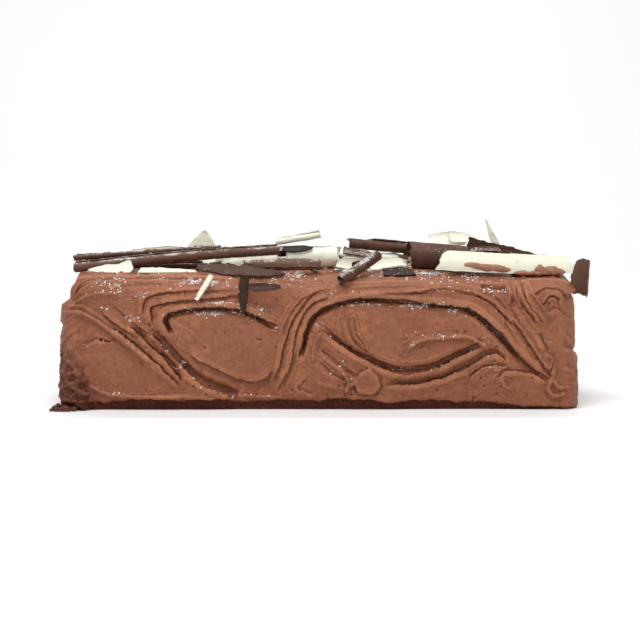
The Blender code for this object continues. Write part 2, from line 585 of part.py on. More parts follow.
def main():
    clear_scene()
    collection = new_collection("yule_log_cake")
    buttercream = chocolate_material("buttercream", (0.235, 0.100, 0.055), 0.42)
    cake = build_cake(collection, buttercream)
    build_toppings(collection, cake)


main()
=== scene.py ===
"""Looks of the yule log cake: swirled buttercream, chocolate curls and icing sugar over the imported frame.

Sizes are in millimetres down to the last step of each piece, which scales its mesh to metres.
"""

import math

import bmesh
import bpy
import numpy as np
from mathutils import Euler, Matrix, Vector
from mathutils.bvhtree import BVHTree
from mathutils.kdtree import KDTree


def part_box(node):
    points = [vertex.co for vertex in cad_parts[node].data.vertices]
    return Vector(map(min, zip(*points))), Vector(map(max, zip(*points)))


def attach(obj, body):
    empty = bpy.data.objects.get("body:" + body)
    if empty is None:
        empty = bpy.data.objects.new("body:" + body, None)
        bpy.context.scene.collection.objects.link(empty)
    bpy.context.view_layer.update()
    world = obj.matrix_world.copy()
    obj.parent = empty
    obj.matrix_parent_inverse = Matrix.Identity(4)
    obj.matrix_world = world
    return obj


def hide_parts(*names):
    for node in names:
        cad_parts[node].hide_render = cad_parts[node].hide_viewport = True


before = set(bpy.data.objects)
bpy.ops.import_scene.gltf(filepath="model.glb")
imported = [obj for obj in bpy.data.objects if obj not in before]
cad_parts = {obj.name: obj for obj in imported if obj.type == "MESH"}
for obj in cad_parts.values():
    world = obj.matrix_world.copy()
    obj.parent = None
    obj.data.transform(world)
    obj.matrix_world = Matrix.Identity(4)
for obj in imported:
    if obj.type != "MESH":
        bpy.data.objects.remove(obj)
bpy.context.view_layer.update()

MILLIMETRE = 0.001

# The cake: the bar's size and rounding, and the bare foot below the buttercream's hem, which
# falls by a share of its height towards the right end.
LENGTH = 302.0
DEPTH = 100.0
HEIGHT = 79.0
DOME = 1.4
CORNER = (12.0, 12.0, 13.0)
FOOT_HEIGHT = 5.8
FOOT_RECESS = 3.0
HEM_FALL = (0.75, 60.0, 148.0)

# The left end stands out and steps in near its top, and the right one spreads towards its
# foot: how far each moves, and the heights between which it happens.
LEFT_BULGE = 1.4
LEFT_STEP = (5.2, 60.5, 65.5)
RIGHT_SPREAD = (1.8, 60.0, 8.0)

# The mesh's cells along the cake, across it and up it, and its triangles once thinned out.
CELLS = (0.62, 1.6, 0.62)
CAKE_TRIANGLES = 190000

# How bold the strokes are, how sharp a lip stands over its groove, how far its swell reaches
# and how far it leans over: most at a crest, whose place and half width follow. Then how
# ragged the lines are, for folds and beads, and the share of a line over which it fades out.
RELIEF = 1.25
LIP_EDGE = 0.42
SWELL_REACH = 3.0
LEAN = 0.7
MOST_LEANT = 1.5
CREST = (0.7, 1.1)
RAGGED = 0.45
BEAD_RAGGED = 0.6 * RAGGED
STROKE_FADE = 0.12

# The streaks along a stroke: depth, pitch and how far from it they reach. Then lumps, each
# with its cell, and pits: their cell, the noise at which they open, how much more of it
# makes them whole, and their depth.
STREAK_DEPTH = 0.24
STREAK_PITCH = 2.3
STREAK_REACH = 5.0
LUMPS = ((0.22, 4.3), (0.11, 1.9))
PITS = (2.3, 0.82, 0.18, 0.45)

# Places farther than this from every stroke count as this far. Those within the first of
# CLOSE show streaks in the material, and in full once nearer by the second.
FARTHEST = 30.0
CLOSE = (5.5, 3.3)

# How much the strokes calm down on the foot, and the share of its recess that the ends have.
FOOT_CALM = 0.8
END_RECESS = 0.25

# How a groove is found for the painted shade in grooves and painted highlight on crests: by
# how many rounds the surface is smoothed, a little and a lot, and how much its finer
# unevenness counts.
CAVITY_ROUNDS = (3, 24)
CAVITY_SHARPNESS = 1.6

# How much a side must face a way before its strokes count, and for them to count in full.
SIDE_BLEND = (0.1, 0.6)

# The hem's waves: their height, and the lengths that set them; then the height of its slope.
HEM_WAVES = (0.9, 9.0, 23.0)
HEM_SLOPE = 0.7

# The lengths over which a side's pattern wanders.
WANDER_LENGTHS = (19.0, 47.0, 29.0)

# Noise: the size of its table, the level at which a flat place is read, and what brings its
# usual range to about -1 to 1.
NOISE_TABLE = (37, 41, 43)
NOISE_LEVEL = 0.37
NOISE_GAIN = 1.3

# A length below TINY counts as nothing, and a place below WELD is on the base.
TINY = 1e-9
WELD = 1e-4

# Chocolate: how thick a sheet is, how far apart a coil's turns are and the tightest and most
# of them, the mesh's cell, and how much slimmer a curl is than its solid.
SHEET = 0.85
COIL_PITCH = 1.5
TIGHTEST = 0.3
MOST_TURNS = 2.2
SHAVING_CELL = 0.85
CURL_SHRINK = 0.97

# Narrower and shorter sheets than these are less ragged, the ends are ragged this far in, and
# a shaving sways by a share of its length.
RAGGED_WIDTH = 8.0
RAGGED_LENGTH = 30.0
END_REACH = 5.0
SWAY = 0.01

# Splinters: where over the cake they are dropped, from what height, how thick they are, the
# radius of their curl as a share of their width, how far they lift out of what they land on
# as a share of half their height, and how far they right themselves on a slope.
DROP_ACROSS = (-140, 140)
DROP_DEPTH = (-28, 45)
DROP_HEIGHT = 200.0
SPLINTER_SHEET = 0.7
SPLINTER_CURL = {"coil": 0.17, "flat": 1.3}
SPLINTER_LIFT = {"coil": 0.9, "flat": 0.35}
SPLINTER_UPRIGHT = 0.45

# Smears: the rows and columns of their mesh, how far in front of the cake they start, and
# where they lie if nothing is behind them.
SMEAR_CELLS = (57, 15)
SMEAR_START = -90.0
SMEAR_FRONT = -39.0

# The first random seed of the splinters and of the smears, with the step from one to the
# next, and the seed of the crumbs.
SPLINTER_SEEDS = (300, 100)
SMEAR_SEEDS = (81, 5)
CRUMB_SEED = 91

# Grains of icing sugar: how many lie on the cake and on the shavings, then the smallest and
# the largest radius on each.
GRAINS_ON_CAKE = 7500
GRAINS_ON_CHOCOLATE = 4600
GRAIN_ON_CAKE = (0.12, 0.7)
GRAIN_ON_CHOCOLATE = (0.12, 0.4)

# Folds that the spatula left on the front: a smooth line through a few places (across, up),
# then how far the buttercream stands proud on the line's left, how far it sinks on its right,
# and how far that hollow reaches.
FRONT_FOLDS = (
    (((-82, 13), (-93, 24), (-105, 35), (-121, 48)), 1.2, 1.9, 2.0),
    (((-81, 16), (-90, 27), (-98, 36), (-111, 49)), 1.5, 2.6, 2.4),
    (((-84, 24), (-89, 29), (-94, 33)), 0.6, 1.6, 1.6),
    (((-49, 5), (-55, 8), (-70, 14), (-81, 25), (-93, 37), (-99, 45)), 1.6, 1.6, 5.0),
    (((-103, 56), (-103, 63), (-96, 68), (-75, 70), (-46, 71)), 0.9, 1.4, 2.2),
    (((-98, 51), (-99, 59), (-93, 63), (-69, 66), (-46, 68)), 1.1, 1.8, 2.6),
    (((-88, 44), (-92, 53), (-88, 58), (-72, 61), (-55, 61), (-40, 58), (-24, 50)), 1.5, 3.0, 7.0),
    (((-76, 33), (-65, 27), (-55, 22), (-46, 18), (-34, 18), (-28, 24)), 0.8, 1.4, 6.0),
    (((-28, 16), (-24, 27), (-21, 40), (-17, 52), (-11, 61), (-4, 69), (6, 72)), 1.0, 1.4, 2.2),
    (((-26, 11), (-18, 27), (-14, 47), (-6, 62), (6, 67)), 1.0, 1.5, 2.2),
    (((-22, 14), (-16, 28), (-12, 44)), 0.5, 0.9, 1.6),
    (((-13, 30), (-10.5, 43), (-6.5, 54), (3, 61.5), (15, 65), (29, 66.5), (55, 65)), 1.6, 3.4, 7.0),
    (((50, 65), (73, 62.5), (90, 59), (104, 48), (118, 32), (130, 21)), 1.6, 3.0, 5.0),
    (((94, 36), (82, 30), (70, 23.5), (54, 20), (47, 20), (31, 26), (15, 35), (3, 45)), 1.6, 1.4, 5.0),
    (((109, 28), (101, 32), (89, 25), (73, 18), (56, 14), (38, 14)), 1.3, 2.2, 3.0),
    (((109, 25), (97, 25), (88, 18)), 0.9, 1.5, 2.0),
    (((21, 18), (9, 27), (0, 35)), 0.8, 1.3, 2.6),
    (((15, 17), (6, 21), (-1, 28)), 0.5, 0.9, 1.8),
    (((29, 32), (19, 41), (15, 54)), 0.5, 1.1, 1.8),
    (((26, 37), (21, 44), (19, 53)), 0.4, 0.7, 1.2),
    (((19, 72), (35, 73), (62, 74)), 0.7, 0.9, 1.8),
    (((15, 67), (44, 69), (70, 70)), 0.6, 0.9, 1.6),
    (((48, 69), (76, 72), (98, 65), (105, 59), (114, 50)), 0.9, 1.5, 2.2),
    (((113, 54), (120, 43.5), (128, 31.5), (137, 19)), 1.1, 1.7, 2.2),
    (((107, 47), (115, 37), (123, 29), (135, 18)), 1.0, 1.5, 2.2),
    (((109, 52), (113, 45), (119, 35)), 0.5, 0.9, 1.4),
    (((115, 78), (116, 67), (123, 57), (127, 51)), 1.0, 1.5, 2.2),
    (((119, 78), (121, 66), (131, 51)), 0.9, 1.3, 2.2),
    (((108, 75), (111, 68), (114, 63)), 0.5, 0.8, 1.4),
    (((133, 16), (123, 21), (110, 22), (104, 18)), 0.8, 1.1, 3.0),
    (((124, 68), (131, 73), (140, 72), (146, 65)), 1.0, 1.4, 2.2),
    (((129, 62), (134, 68), (139, 66), (140, 61)), 0.8, 1.2, 1.8),
    (((149, 54), (144, 54), (138, 59), (132, 56)), 0.6, 0.9, 1.6),
    (((-127, 58), (-117, 50), (-104, 42), (-97, 34)), 0.6, 1.2, 1.6),
    (((-120, 62), (-108, 52), (-99, 45)), 0.5, 1.0, 1.4),
    (((112, 60), (119, 50), (126, 40), (133, 28)), 0.5, 0.9, 1.4),
    (((-23, 44), (-19, 55), (-12, 64), (-2, 72)), 0.5, 0.9, 1.4),
    (((133, 34), (130, 39), (127, 45)), 0.4, 1.6, 1.6),
    (((135, 22), (136, 30), (129, 33)), 0.5, 1.7, 2.0),
    (((-126, 40), (-130, 41), (-138, 38)), 0.3, 1.3, 1.2),
    (((-4, 9), (-13, 13), (-7, 19)), 0.4, 0.9, 1.4),
    (((112, 13), (109, 15), (108, 18)), 0.3, 0.9, 1.2),
)

# Beads of buttercream squeezed up between strokes, then furrows drawn through it: the line, the
# height in the middle, below zero for a furrow, and how far it reaches to each side.
FRONT_BEADS = (
    (((-149, 58), (-139, 57), (-129, 52), (-110, 37), (-99, 28)), 1.6, 1.15),
    (((-145, 64), (-139, 74), (-128, 79), (-90, 79), (-46, 78)), 1.2, 1.15),
    (((-145, 68), (-137, 80), (-120, 83), (-46, 82)), 1.2, 1.15),
    (((-146, 61), (-139, 61), (-133, 58), (-121, 50)), 0.7, 1.15),
    (((-146, 32), (-140, 21), (-128, 11), (-111, 8), (-70, 7), (-48, 4)), 1.3, 1.15),
    (((-147, 33), (-143, 27), (-137, 18), (-132, 8)), 0.9, 1.15),
    (((50, 34), (57, 40), (67, 42), (85, 43), (94, 39), (99, 34)), 1.4, 1.15),
    (((1, 46), (-3, 38), (-4, 28)), 1.0, 1.15),
    (((13, 22.5), (17, 15.5), (15, 10)), 1.7, 1.0),
    (((22, 19.5), (18, 14)), 1.4, 0.9),
    (((129, 33), (136, 31), (137, 22), (134, 12), (138, 8), (144, 10)), 1.3, 1.15),
    (((137, 18), (140, 13), (146, 14)), 0.8, 1.15),
    (((-2, 16), (6, 14), (16, 12)), 0.6, 1.15),
    (((-98, 8), (-70, 9), (-20, 7)), 0.5, 1.15),
    (((-147, 66), (-140, 77), (-128, 80), (-92, 80), (-52, 79)), 1.2, 0.8),
    (((-146, 62), (-138, 71), (-126, 75.5), (-96, 76), (-60, 75)), 1.0, 0.8),
    (((-148, 57), (-141, 64), (-130, 68), (-116, 68)), 0.9, 0.8),
    (((116.5, 80), (118, 68), (126, 56), (129, 51)), 0.9, 0.7),
    (((122, 80), (124, 69), (134, 55)), 0.9, 0.7),
    (((126, 64), (131, 70), (138, 70), (143, 64)), 0.5, 0.7),
    (((131, 60), (134, 65), (138, 64), (138, 60)), 0.5, 0.7),
    (((50, 72.5), (78, 75), (100, 69), (110, 60)), 0.9, 0.8),
    (((10, 75.5), (40, 77), (70, 77)), 0.9, 0.8),
    (((90, 77), (101, 76), (112, 77)), 1.5, 1.2),
    (((110, 62), (110.5, 70), (108, 79)), 1.6, 1.2),
    (((117, 60), (113.5, 70), (115, 80)), 1.5, 1.1),
    (((118, 79), (128, 82.5), (140, 81), (147, 75)), 2.0, 1.6),
    (((94, 74.5), (101, 72.5), (109, 72)), -2.8, 1.5),
    (((-144, 66), (-136, 76), (-124, 78.2), (-96, 78.5), (-64, 77)), -1.5, 0.8),
    (((-149, 60), (-143, 68), (-134, 74), (-118, 73.5)), -1.4, 0.8),
    (((-118, 71.5), (-104, 73.5), (-90, 73)), -1.0, 0.7),
    (((-47, 9), (-58, 13), (-72, 20), (-80, 28), (-88, 37), (-99, 48)), -2.4, 2.6),
    (((96, 40.5), (82, 32.5), (70, 27), (58, 24), (44, 24), (28, 30), (14, 37.5), (2, 48.5)), -2.7, 2.2),
    (((-80, 19), (-89, 29), (-97, 38), (-108, 49)), -1.0, 1.8),
    (((-86, 44), (-90, 52), (-87, 56), (-72, 59), (-55, 59), (-41, 56), (-26, 48)), -2.2, 1.6),
    (((-11, 31), (-8.5, 43), (-4.5, 53), (4, 59.5), (15, 63), (29, 64.5), (55, 63)), -2.7, 1.7),
    (((50, 63), (73, 60.5), (89, 57), (102, 46), (116, 31)), -2.4, 1.6),
    (((107, 32), (100, 35), (88, 28), (73, 20.5), (56, 16.5), (40, 16.5)), -1.0, 1.8),
)

# Where the buttercream tore as it was drawn out: short cracks in a row along these lines.
FRONT_TEARS = (
    ((74, 72.6), (85, 71.2), (93, 67.5), (99, 63.5)),
    ((104, 59), (108, 55), (112, 51)),
    ((-133, 41), (-127, 41), (-121, 40)),
    ((-101, 52), (-95, 47), (-90, 41)),
    ((60, 70.5), (68, 71), (73, 71)),
)
TEAR = (1.3, 0.55)

# The top sags towards the front: how far beside the middle and at the right end, where the sag
# begins and is whole along the cake, and the same across it.
SAG = (1.6, 3.0)
SAG_ALONG = (-75.0, -35.0)
SAG_ACROSS = (-16.0, -42.0)

# Buttercream pushed up round the pieces that sit in it: how high, and how far from them. It
# rises above the first of these heights, measured from the top, for points below the second.
PRESSED = (1.0, 2.0)
PRESSED_BAND = (-22.0, 8.0)

# The round dab that a finger's tip could cover: its place, radius and height.
DAB = ((28.0, 16.0), 7.4, 1.6)

# Every other side carries the same hand's strokes from another stretch of the work:
# direction the side faces, shift of the pattern (across, up), how much it wanders, and its depth.
SIDES = (
    ((0, -1), (0.0, 0.0), 0.0, 1.0),
    ((0, 1), (12.0, 3.0), 9.0, 1.0),
    ((1, 0), (62.0, 0.0), 6.0, 0.6),
    ((-1, 0), (-66.0, -2.0), 6.0, 0.6),
)
TOP_SHIFT = (-30.0, 42.0)
TOP_WANDER = 8.0
TOP_DEPTH = 0.4

# The heap of buttercream that ran down the front left corner: its middle at the foot and at
# the top, its height, its reach to each side and thickness at both, and its top's fade.
DRIP_FOOT = (-143.5, -48.0)
DRIP_TOP = (-148.0, -47.0)
DRIP_HEIGHT = 37.0
DRIP_REACH = (14.0, 4.5)
DRIP_THICKNESS = (4.4, 2.6)
DRIP_TOP_FADE = 0.1

# Where icing sugar fell thickly on the front: place (across, up), reach (across, up), strength.
# All are made weaker and spread wider, by more behind, where the same patches fall mirrored.
SUGAR_STRENGTH = 0.8
SUGAR_SPREAD = (1.5, 1.7)
SUGAR_PATCHES = (
    ((-122, 73), (9, 3), 0.85), ((-132, 70), (3, 2), 0.6), ((-104, 69), (5, 2), 0.8),
    ((-74, 75), (25, 2.0), 0.85), ((-119, 61), (4, 2), 0.6), ((-109, 54), (4, 2), 0.9),
    ((-110, 64), (3, 1.5), 0.6), ((-126, 59), (3, 1.5), 0.5), ((-134, 43), (2, 1.5), 0.7),
    ((-64, 56.5), (20, 1.8), 0.9), ((-57, 63), (9, 1.2), 1.0), ((-35, 59), (7, 2), 0.7),
    ((-99, 46), (2, 2), 0.7), ((-91, 36), (2.5, 3), 0.7), ((-82, 26), (2, 2.5), 0.6),
    ((6, 67), (2.5, 2.5), 0.8), ((-1, 51), (1, 3), 0.8), ((11, 56), (1.5, 2.5), 0.7),
    ((24, 61.5), (12, 1.2), 0.9), ((58, 61), (14, 1.2), 1.0), ((80, 58), (6, 1.2), 0.8),
    ((84, 55), (3, 1), 0.5), ((55, 38), (1.8, 1.2), 1.0), ((70, 43.5), (8, 1), 0.8),
    ((81, 45), (4, 1), 0.4), ((92, 42), (2, 2), 0.7), ((44, 78), (20, 1.5), 0.6),
    ((84, 76), (16, 5), 0.55), ((103, 70), (5, 4), 0.5), ((35, 26), (2, 1), 0.6),
    ((50, 24), (5, 1), 0.6), ((12, 27), (2, 1.5), 0.6), ((16, 17), (2, 3), 0.5),
)

# Each shaving, from the bottom of the heap to the top: name, coiled or flat, length, width of
# the sheet before it curled, radius of the curl (a coil's outer one), then the form:
# width at the start, belly and end as shares, and how far the first edge runs past the last
# at the start and at the end, which is EVEN for a plain oblong. Then its turns (yaw, pitch,
# roll) in degrees.
EVEN = (1, 0, 1, 0, 0)
SHAVINGS = (
    ("white_flake_front_left", "flat", 25.5, 9, 9, (0.15, 0.2, 1.0, 0, 0), (2, 3, 48)),
    ("white_stick_front_left", "flat", 35, 5, 5, (1.0, 0.1, 0.4, 0, 0), (0, 0, 35)),
    ("dark_shard_front", "flat", 52, 9, 12, (0.35, 0.7, 0.12, 0, 0), (-2, -3, 50)),
    ("dark_curl_front_centre", "coil", 45, 30, 3.9, EVEN, (0, 1, 200)),
    ("white_curl_centre", "coil", 33, 34, 7.3, (1, 0, 1, 0, -3), (3, 1, 120)),
    ("white_sheet_left_centre", "flat", 33, 14, 11, (0.6, 0.3, 1.0, 3, 0), (4, 2, 44)),
    ("dark_curl_long", "coil", 120, 26, 3.5, (1, 0, 1, 2, 1), (6.6, 4.2, 60)),
    ("dark_stick_long", "coil", 87, 9, 1.9, EVEN, (6.6, 3.8, 10)),
    ("white_flake_mid_left", "flat", 14, 11, 6, (0.7, 0.3, 0.8, 2, 0), (-4, 0, 60)),
    ("white_flake_mid_right", "flat", 20, 10, 7, (1.0, 0.1, 0.7, 0, 2), (3, 2, 58)),
    ("dark_flake_front_mid", "flat", 17, 9, 12, (0.8, 0.3, 0.7, 0, 2), (2, 0, 30)),
    ("white_curl_under_mid", "coil", 32, 28, 4.6, EVEN, (6, 0, 0)),
    ("grey_flake_front", "flat", 13, 7, 9, (0.6, 0.3, 0.6, 0, 0), (-3, 0, 18)),
    ("dark_curl_diagonal", "coil", 33, 24, 3.3, EVEN, (40, 24, 270)),
    ("dark_curl_small_mid", "coil", 9, 12, 2.0, EVEN, (24, 8, 30)),
    ("dark_curl_broad", "coil", 35, 40, 8.6, (1, 0, 0.8, 6, -7), (-4, -5, 345)),
    ("dark_shard_mid_left", "flat", 20, 7, 8, (0.9, 0.3, 0.3, 0, 0), (-8, -8, 36)),
    ("dark_curl_rough", "coil", 38, 24, 3.7, (0.7, 0.3, 1, 3, 0), (-3, -6, 45)),
    ("white_curl_long_right", "flat", 81.5, 18.5, 9.5, (1, 0.1, 0.9, -10, 0), (2, -1.8, 222)),
    ("dark_flake_behind_right", "flat", 58, 22, 20, (1.0, 0.0, 0.08, 0, 0), (0, -5, 72)),
    ("white_strip_left", "flat", 51, 13, 18, (0.7, 0.2, 0.9, 0, 0), (-2, 1, 68)),
    ("dark_curl_rear_left", "coil", 46, 34, 4.6, EVEN, (12, 0, 0)),
    ("dark_curl_rear_edge", "coil", 76, 26, 3.4, EVEN, (-3, 0, 150)),
    ("white_flake_rear_left", "flat", 33, 13, 12, (0.4, 0.5, 0.7, 0, 0), (18, 0, 6)),
    ("white_curl_rear_left", "coil", 50, 34, 5.2, (1, 0, 0.9, 3, 0), (5, 0, 80)),
    ("dark_curl_rear_centre", "coil", 40, 40, 6.4, (1, 0, 1, 0, 4), (-4, 0, 210)),
    ("dark_flake_rear_mid", "flat", 44, 18, 22, (0.5, 0.5, 0.8, 0, 0), (-18, 0, 12)),
    ("white_curl_rear_mid", "coil", 47, 42, 7.4, (1, 0, 0.8, 5, -4), (-4, 0, 130)),
    ("dark_curl_rear_mid", "coil", 62, 28, 4.0, EVEN, (5, 0, 20)),
    ("dark_curl_rear_right", "coil", 50, 24, 3.6, EVEN, (-8, 0, 280)),
    ("white_flake_rear_right", "flat", 40, 16, 20, (0.8, 0.3, 0.3, 0, 0), (4, 0, -14)),
    ("dark_flake_right", "flat", 32, 13, 16, (0.9, 0.3, 0.4, 0, 0), (-24, 0, 10)),
    ("white_stick_rear", "flat", 34, 6, 6, (0.5, 0.4, 1.0, 0, 0), (-6, 0, -20)),
    ("dark_shard_left", "flat", 30, 8, 12, (0.3, 0.5, 0.7, 0, 0), (30, 0, 10)),
    ("dark_curl_top_left", "coil", 44, 22, 2.6, (1, 0, 0.9, 0, 3), (4, 0, 30)),
    ("white_curl_top_left", "coil", 22, 20, 2.8, (0.9, 0, 1, 3, 0), (0, 0, 100)),
    ("dark_curl_top_centre", "coil", 38, 26, 3.6, EVEN, (-12, 0, 330)),
    ("white_curl_top_centre", "coil", 22, 22, 3.2, (1, 0, 0.8, 0, 4), (-6, 0, 60)),
    ("dark_curl_top_right", "coil", 30, 22, 2.7, (1, 0, 1, 2, 0), (2, 0, 200)),
    ("white_curl_top_right", "coil", 34, 22, 3.0, (1, 0, 0.9, 0, 3), (-16, 0, 20)),
    ("dark_curl_left_end", "coil", 20, 16, 2.2, EVEN, (-8, 0, 90)),
    ("white_flake_rear_edge", "flat", 24, 10, 7, (0.7, 0.3, 0.5, 2, -2), (4, 0, -14)),
    ("dark_flake_front_right", "flat", 18, 8, 5, (0.6, 0.4, 0.7, 0, 2), (6, 0, 20)),
    ("white_curl_small_right", "coil", 15, 16, 2.4, (1, 0, 1, 2, 0), (28, 0, 140)),
    ("dark_curl_small_left", "coil", 24, 16, 2.3, (1, 0, 0.9, 0, 2), (16, 0, 50)),
    ("white_flake_tall_left", "flat", 21, 36, 50, (0.85, 0.1, 0.06, 0, 0), (6, 86, 80)),
    ("white_curl_raised", "coil", 28, 18, 2.7, (0.8, 0, 1, 0, 0), (4, 9, 0)),
    ("black_shard_centre", "flat", 18, 5, 8, (0.6, 0.5, 0.2, 0, 0), (2, 2, 55)),
    ("white_flake_top_left", "flat", 22, 12, 12, (0.7, 0.3, 0.7, 0, 0), (-6, 2, 54)),
    ("white_flake_top_right", "flat", 20, 10, 10, (0.9, 0.2, 0.4, 0, 0), (14, -4, 45)),
    ("white_spike", "flat", 30, 9, 14, (1.0, 0.0, 0.06, 0, 0), (8, 113, 80)),
    ("dark_stick_top", "flat", 40, 5, 7, (0.6, 0.5, 0.8, 0, 0), (-14, 0, 20)),
    ("dark_stick_upright", "flat", 20, 5, 6, (0.5, 0.3, 1.0, 0, 0), (0, 90, 90)),
    ("dark_shard_shoulder", "flat", 19, 6, 9, (0.6, 0.4, 0.3, 0, 0), (0, 0, 60)),
    ("white_stick_leaning", "flat", 17, 3, 5, (0.8, 0.2, 1.0, 0, 0), (0, 57, 68)),
    ("dark_flake_right_end", "flat", 21.5, 20, 12, (0.8, 0.3, 0.6, 0, 0), (-54, 84, 80)),
    ("white_flake_rear_side", "flat", 22, 8, 10, (0.3, 0.4, 0.9, 0, 0), (0, 35, -72)),
    ("dark_shard_rear_side", "flat", 26, 6, 9, (0.3, 0.5, 0.6, 0, 0), (0, -12, -68)),
)

# Pieces that look unlike the rest: how pale their bloom is, where a low value also paints
# shade on some pieces, and how much sugar they caught, where the others have 0.5 and 1.
BLOOMS_AND_SHADE = {
    # Painted shade: this curl is toned darker and yellower than the other white pieces, partly its creamier
    # colour and partly painted shade holding back the strong light on it.
    "white_curl_long_right": (0.0, 0.0),
    "white_flake_front_left": (0.2, 0.0),
    "white_stick_front_left": (0.2, 0.0),
    "dark_flake_right_end": (1.0, 0.5),
    "dark_curl_front_centre": (0.7, 1.0),
    "dark_curl_long": (0.62, 1.0),
    "dark_flake_behind_right": (0.4, 1.0),
    # Painted shade: these two lie in shadow, so their near-black tone is partly dark chocolate and partly
    # painted shade.
    "dark_flake_front_mid": (0.0, 0.3),
    "black_shard_centre": (0.0, 0.0),
    "dark_stick_upright": (0.1, 0.0),
    "dark_shard_shoulder": (0.1, 0.5),
    "dark_shard_front": (0.35, 0.7),
    "dark_curl_broad": (0.5, 0.15),
    "dark_curl_rough": (0.5, 0.3),
}

# How ragged a piece's long edges and its ends are, where the others have 1 and 1, or 1 and 1.5
# if they are flat.
EDGES = {
    "white_curl_long_right": (0.3, 2.2),
    "white_curl_centre": (0.6, 0.8),
    "dark_curl_broad": (0.7, 1.2),
    "dark_stick_long": (1.8, 1.2),
    "dark_shard_front": (2.0, 1.5),
    "white_flake_front_left": (1.8, 1.5),
}

# Pieces thicker than the rest.
THICK = {
    "dark_flake_front_mid": 2.4,
    "dark_shard_front": 1.7,
    "dark_stick_upright": 1.7,
    "black_shard_centre": 1.5,
}

# Small broken pieces over the top: name, coiled or flat, how many are dropped, their
# shortest and longest, their narrowest and widest, and the height above which none may land.
SPLINTERS = (
    ("dark_flakes_small", "flat", 30, 12.0, 26.0, 4.0, 8.0, 84.0),
    ("white_flakes_small", "flat", 24, 10.0, 24.0, 4.0, 8.0, 84.0),
    ("dark_curls_small", "coil", 26, 9.0, 24.0, 5.0, 13.0, 84.5),
    ("white_curls_small", "coil", 20, 8.0, 20.0, 5.0, 12.0, 84.5),
    ("dark_splinters", "flat", 70, 3.0, 11.0, 1.0, 3.0, 88.0),
    ("white_splinters", "flat", 60, 3.0, 10.0, 1.0, 3.0, 88.0),
)

# Buttercream wiped onto the long white curl: middle (across, up), half its size, slope, depth.
SMEARS = (
    ((99.0, 83.0), (14.0, 2.0), -0.10, 1.1),
    ((136.0, 80.6), (9.0, 2.6), -0.15, 1.3),
    ((129.0, 78.8), (15.0, 1.9), -0.04, 1.8),
)

# Crumbs: the box they lie in, how many, the smallest and the largest radius.
CRUMBS = (
    ((-156.5, -56.0, 0.0), (-142.0, -49.0, 0.0), 40, 0.4, 1.7),
    ((-156.5, -50.0, 0.0), (-154.0, -38.0, 0.5), 16, 0.4, 1.4),
    ((-152.0, -51.5, 2.0), (-136.0, -50.5, 14.0), 22, 0.5, 1.5),
)

# ---------------------------------------------------------------- noise

def unit(values):
    """The values, held between 0 and 1."""
    return np.clip(values, 0.0, 1.0)


def noise(places, cell, seed):
    """Smooth noise from -1 to 1 at places in two or three dimensions, one value each cell."""
    scaled = np.asarray(places, dtype=float) / np.asarray(cell, dtype=float)
    if scaled.shape[1] == 2:
        scaled = np.column_stack((scaled, np.full(len(scaled), NOISE_LEVEL)))
    table = np.random.RandomState(seed).uniform(-1.0, 1.0, NOISE_TABLE)
    floor = np.floor(scaled).astype(int)
    part = scaled - floor
    part = part * part * (3.0 - 2.0 * part)
    total = np.zeros(len(scaled))
    for corner in range(8):
        step = np.array((corner & 1, corner >> 1 & 1, corner >> 2 & 1))
        weight = np.prod(np.where(step, part, 1.0 - part), axis=1)
        index = (floor + step) % np.array(table.shape)
        total += weight * table[index[:, 0], index[:, 1], index[:, 2]]
    return total * NOISE_GAIN


# ---------------------------------------------------------------- lines and folds

def smooth_line(points, samples=9):
    """Places along a Catmull-Rom curve through the points."""
    knots = np.array(points, dtype=float)
    padded = np.vstack((2 * knots[0] - knots[1], knots, 2 * knots[-1] - knots[-2]))
    share = np.linspace(0.0, 1.0, samples, endpoint=False)[:, None]
    line = []
    for before, start, end, after in zip(padded, padded[1:], padded[2:], padded[3:]):
        pull = 2 * before - 5 * start + 4 * end - after
        bend = 3 * start - before - 3 * end + after
        line.append(start + 0.5 * ((end - before) * share + pull * share**2 + bend * share**3))
    return np.vstack(line + [knots[-1:]])


def follow(flat, points):
    """Distance of each place to the line, + on its left; a fade to its ends; the way left."""
    line = smooth_line(points)
    nearest = np.full(len(flat), np.inf)
    side = np.ones(len(flat))
    along = np.zeros(len(flat))
    left = np.zeros((len(flat), 2))
    for index, (start, end) in enumerate(zip(line[:-1], line[1:])):
        step = end - start
        away = flat - start
        share = np.clip(away @ step / step.dot(step), 0.0, 1.0)
        distance = np.linalg.norm(away - share[:, None] * step, axis=1)
        closer = distance < nearest
        turn = step[0] * away[:, 1] - step[1] * away[:, 0]
        nearest[closer] = distance[closer]
        side[closer] = np.where(turn[closer] < 0.0, -1.0, 1.0)
        along[closer] = (index + share[closer]) / (len(line) - 1)
        left[closer] = np.array((-step[1], step[0])) / np.linalg.norm(step)
    fade = unit(np.minimum(along, 1.0 - along) / STROKE_FADE)
    return nearest * side, fade * (2.0 - fade), left


def near(flat, points, margin):
    """The places close enough to a line for it to matter."""
    low = np.min(points, axis=0) - margin
    high = np.max(points, axis=0) + margin
    return np.flatnonzero(((flat > low) & (flat < high)).all(axis=1))


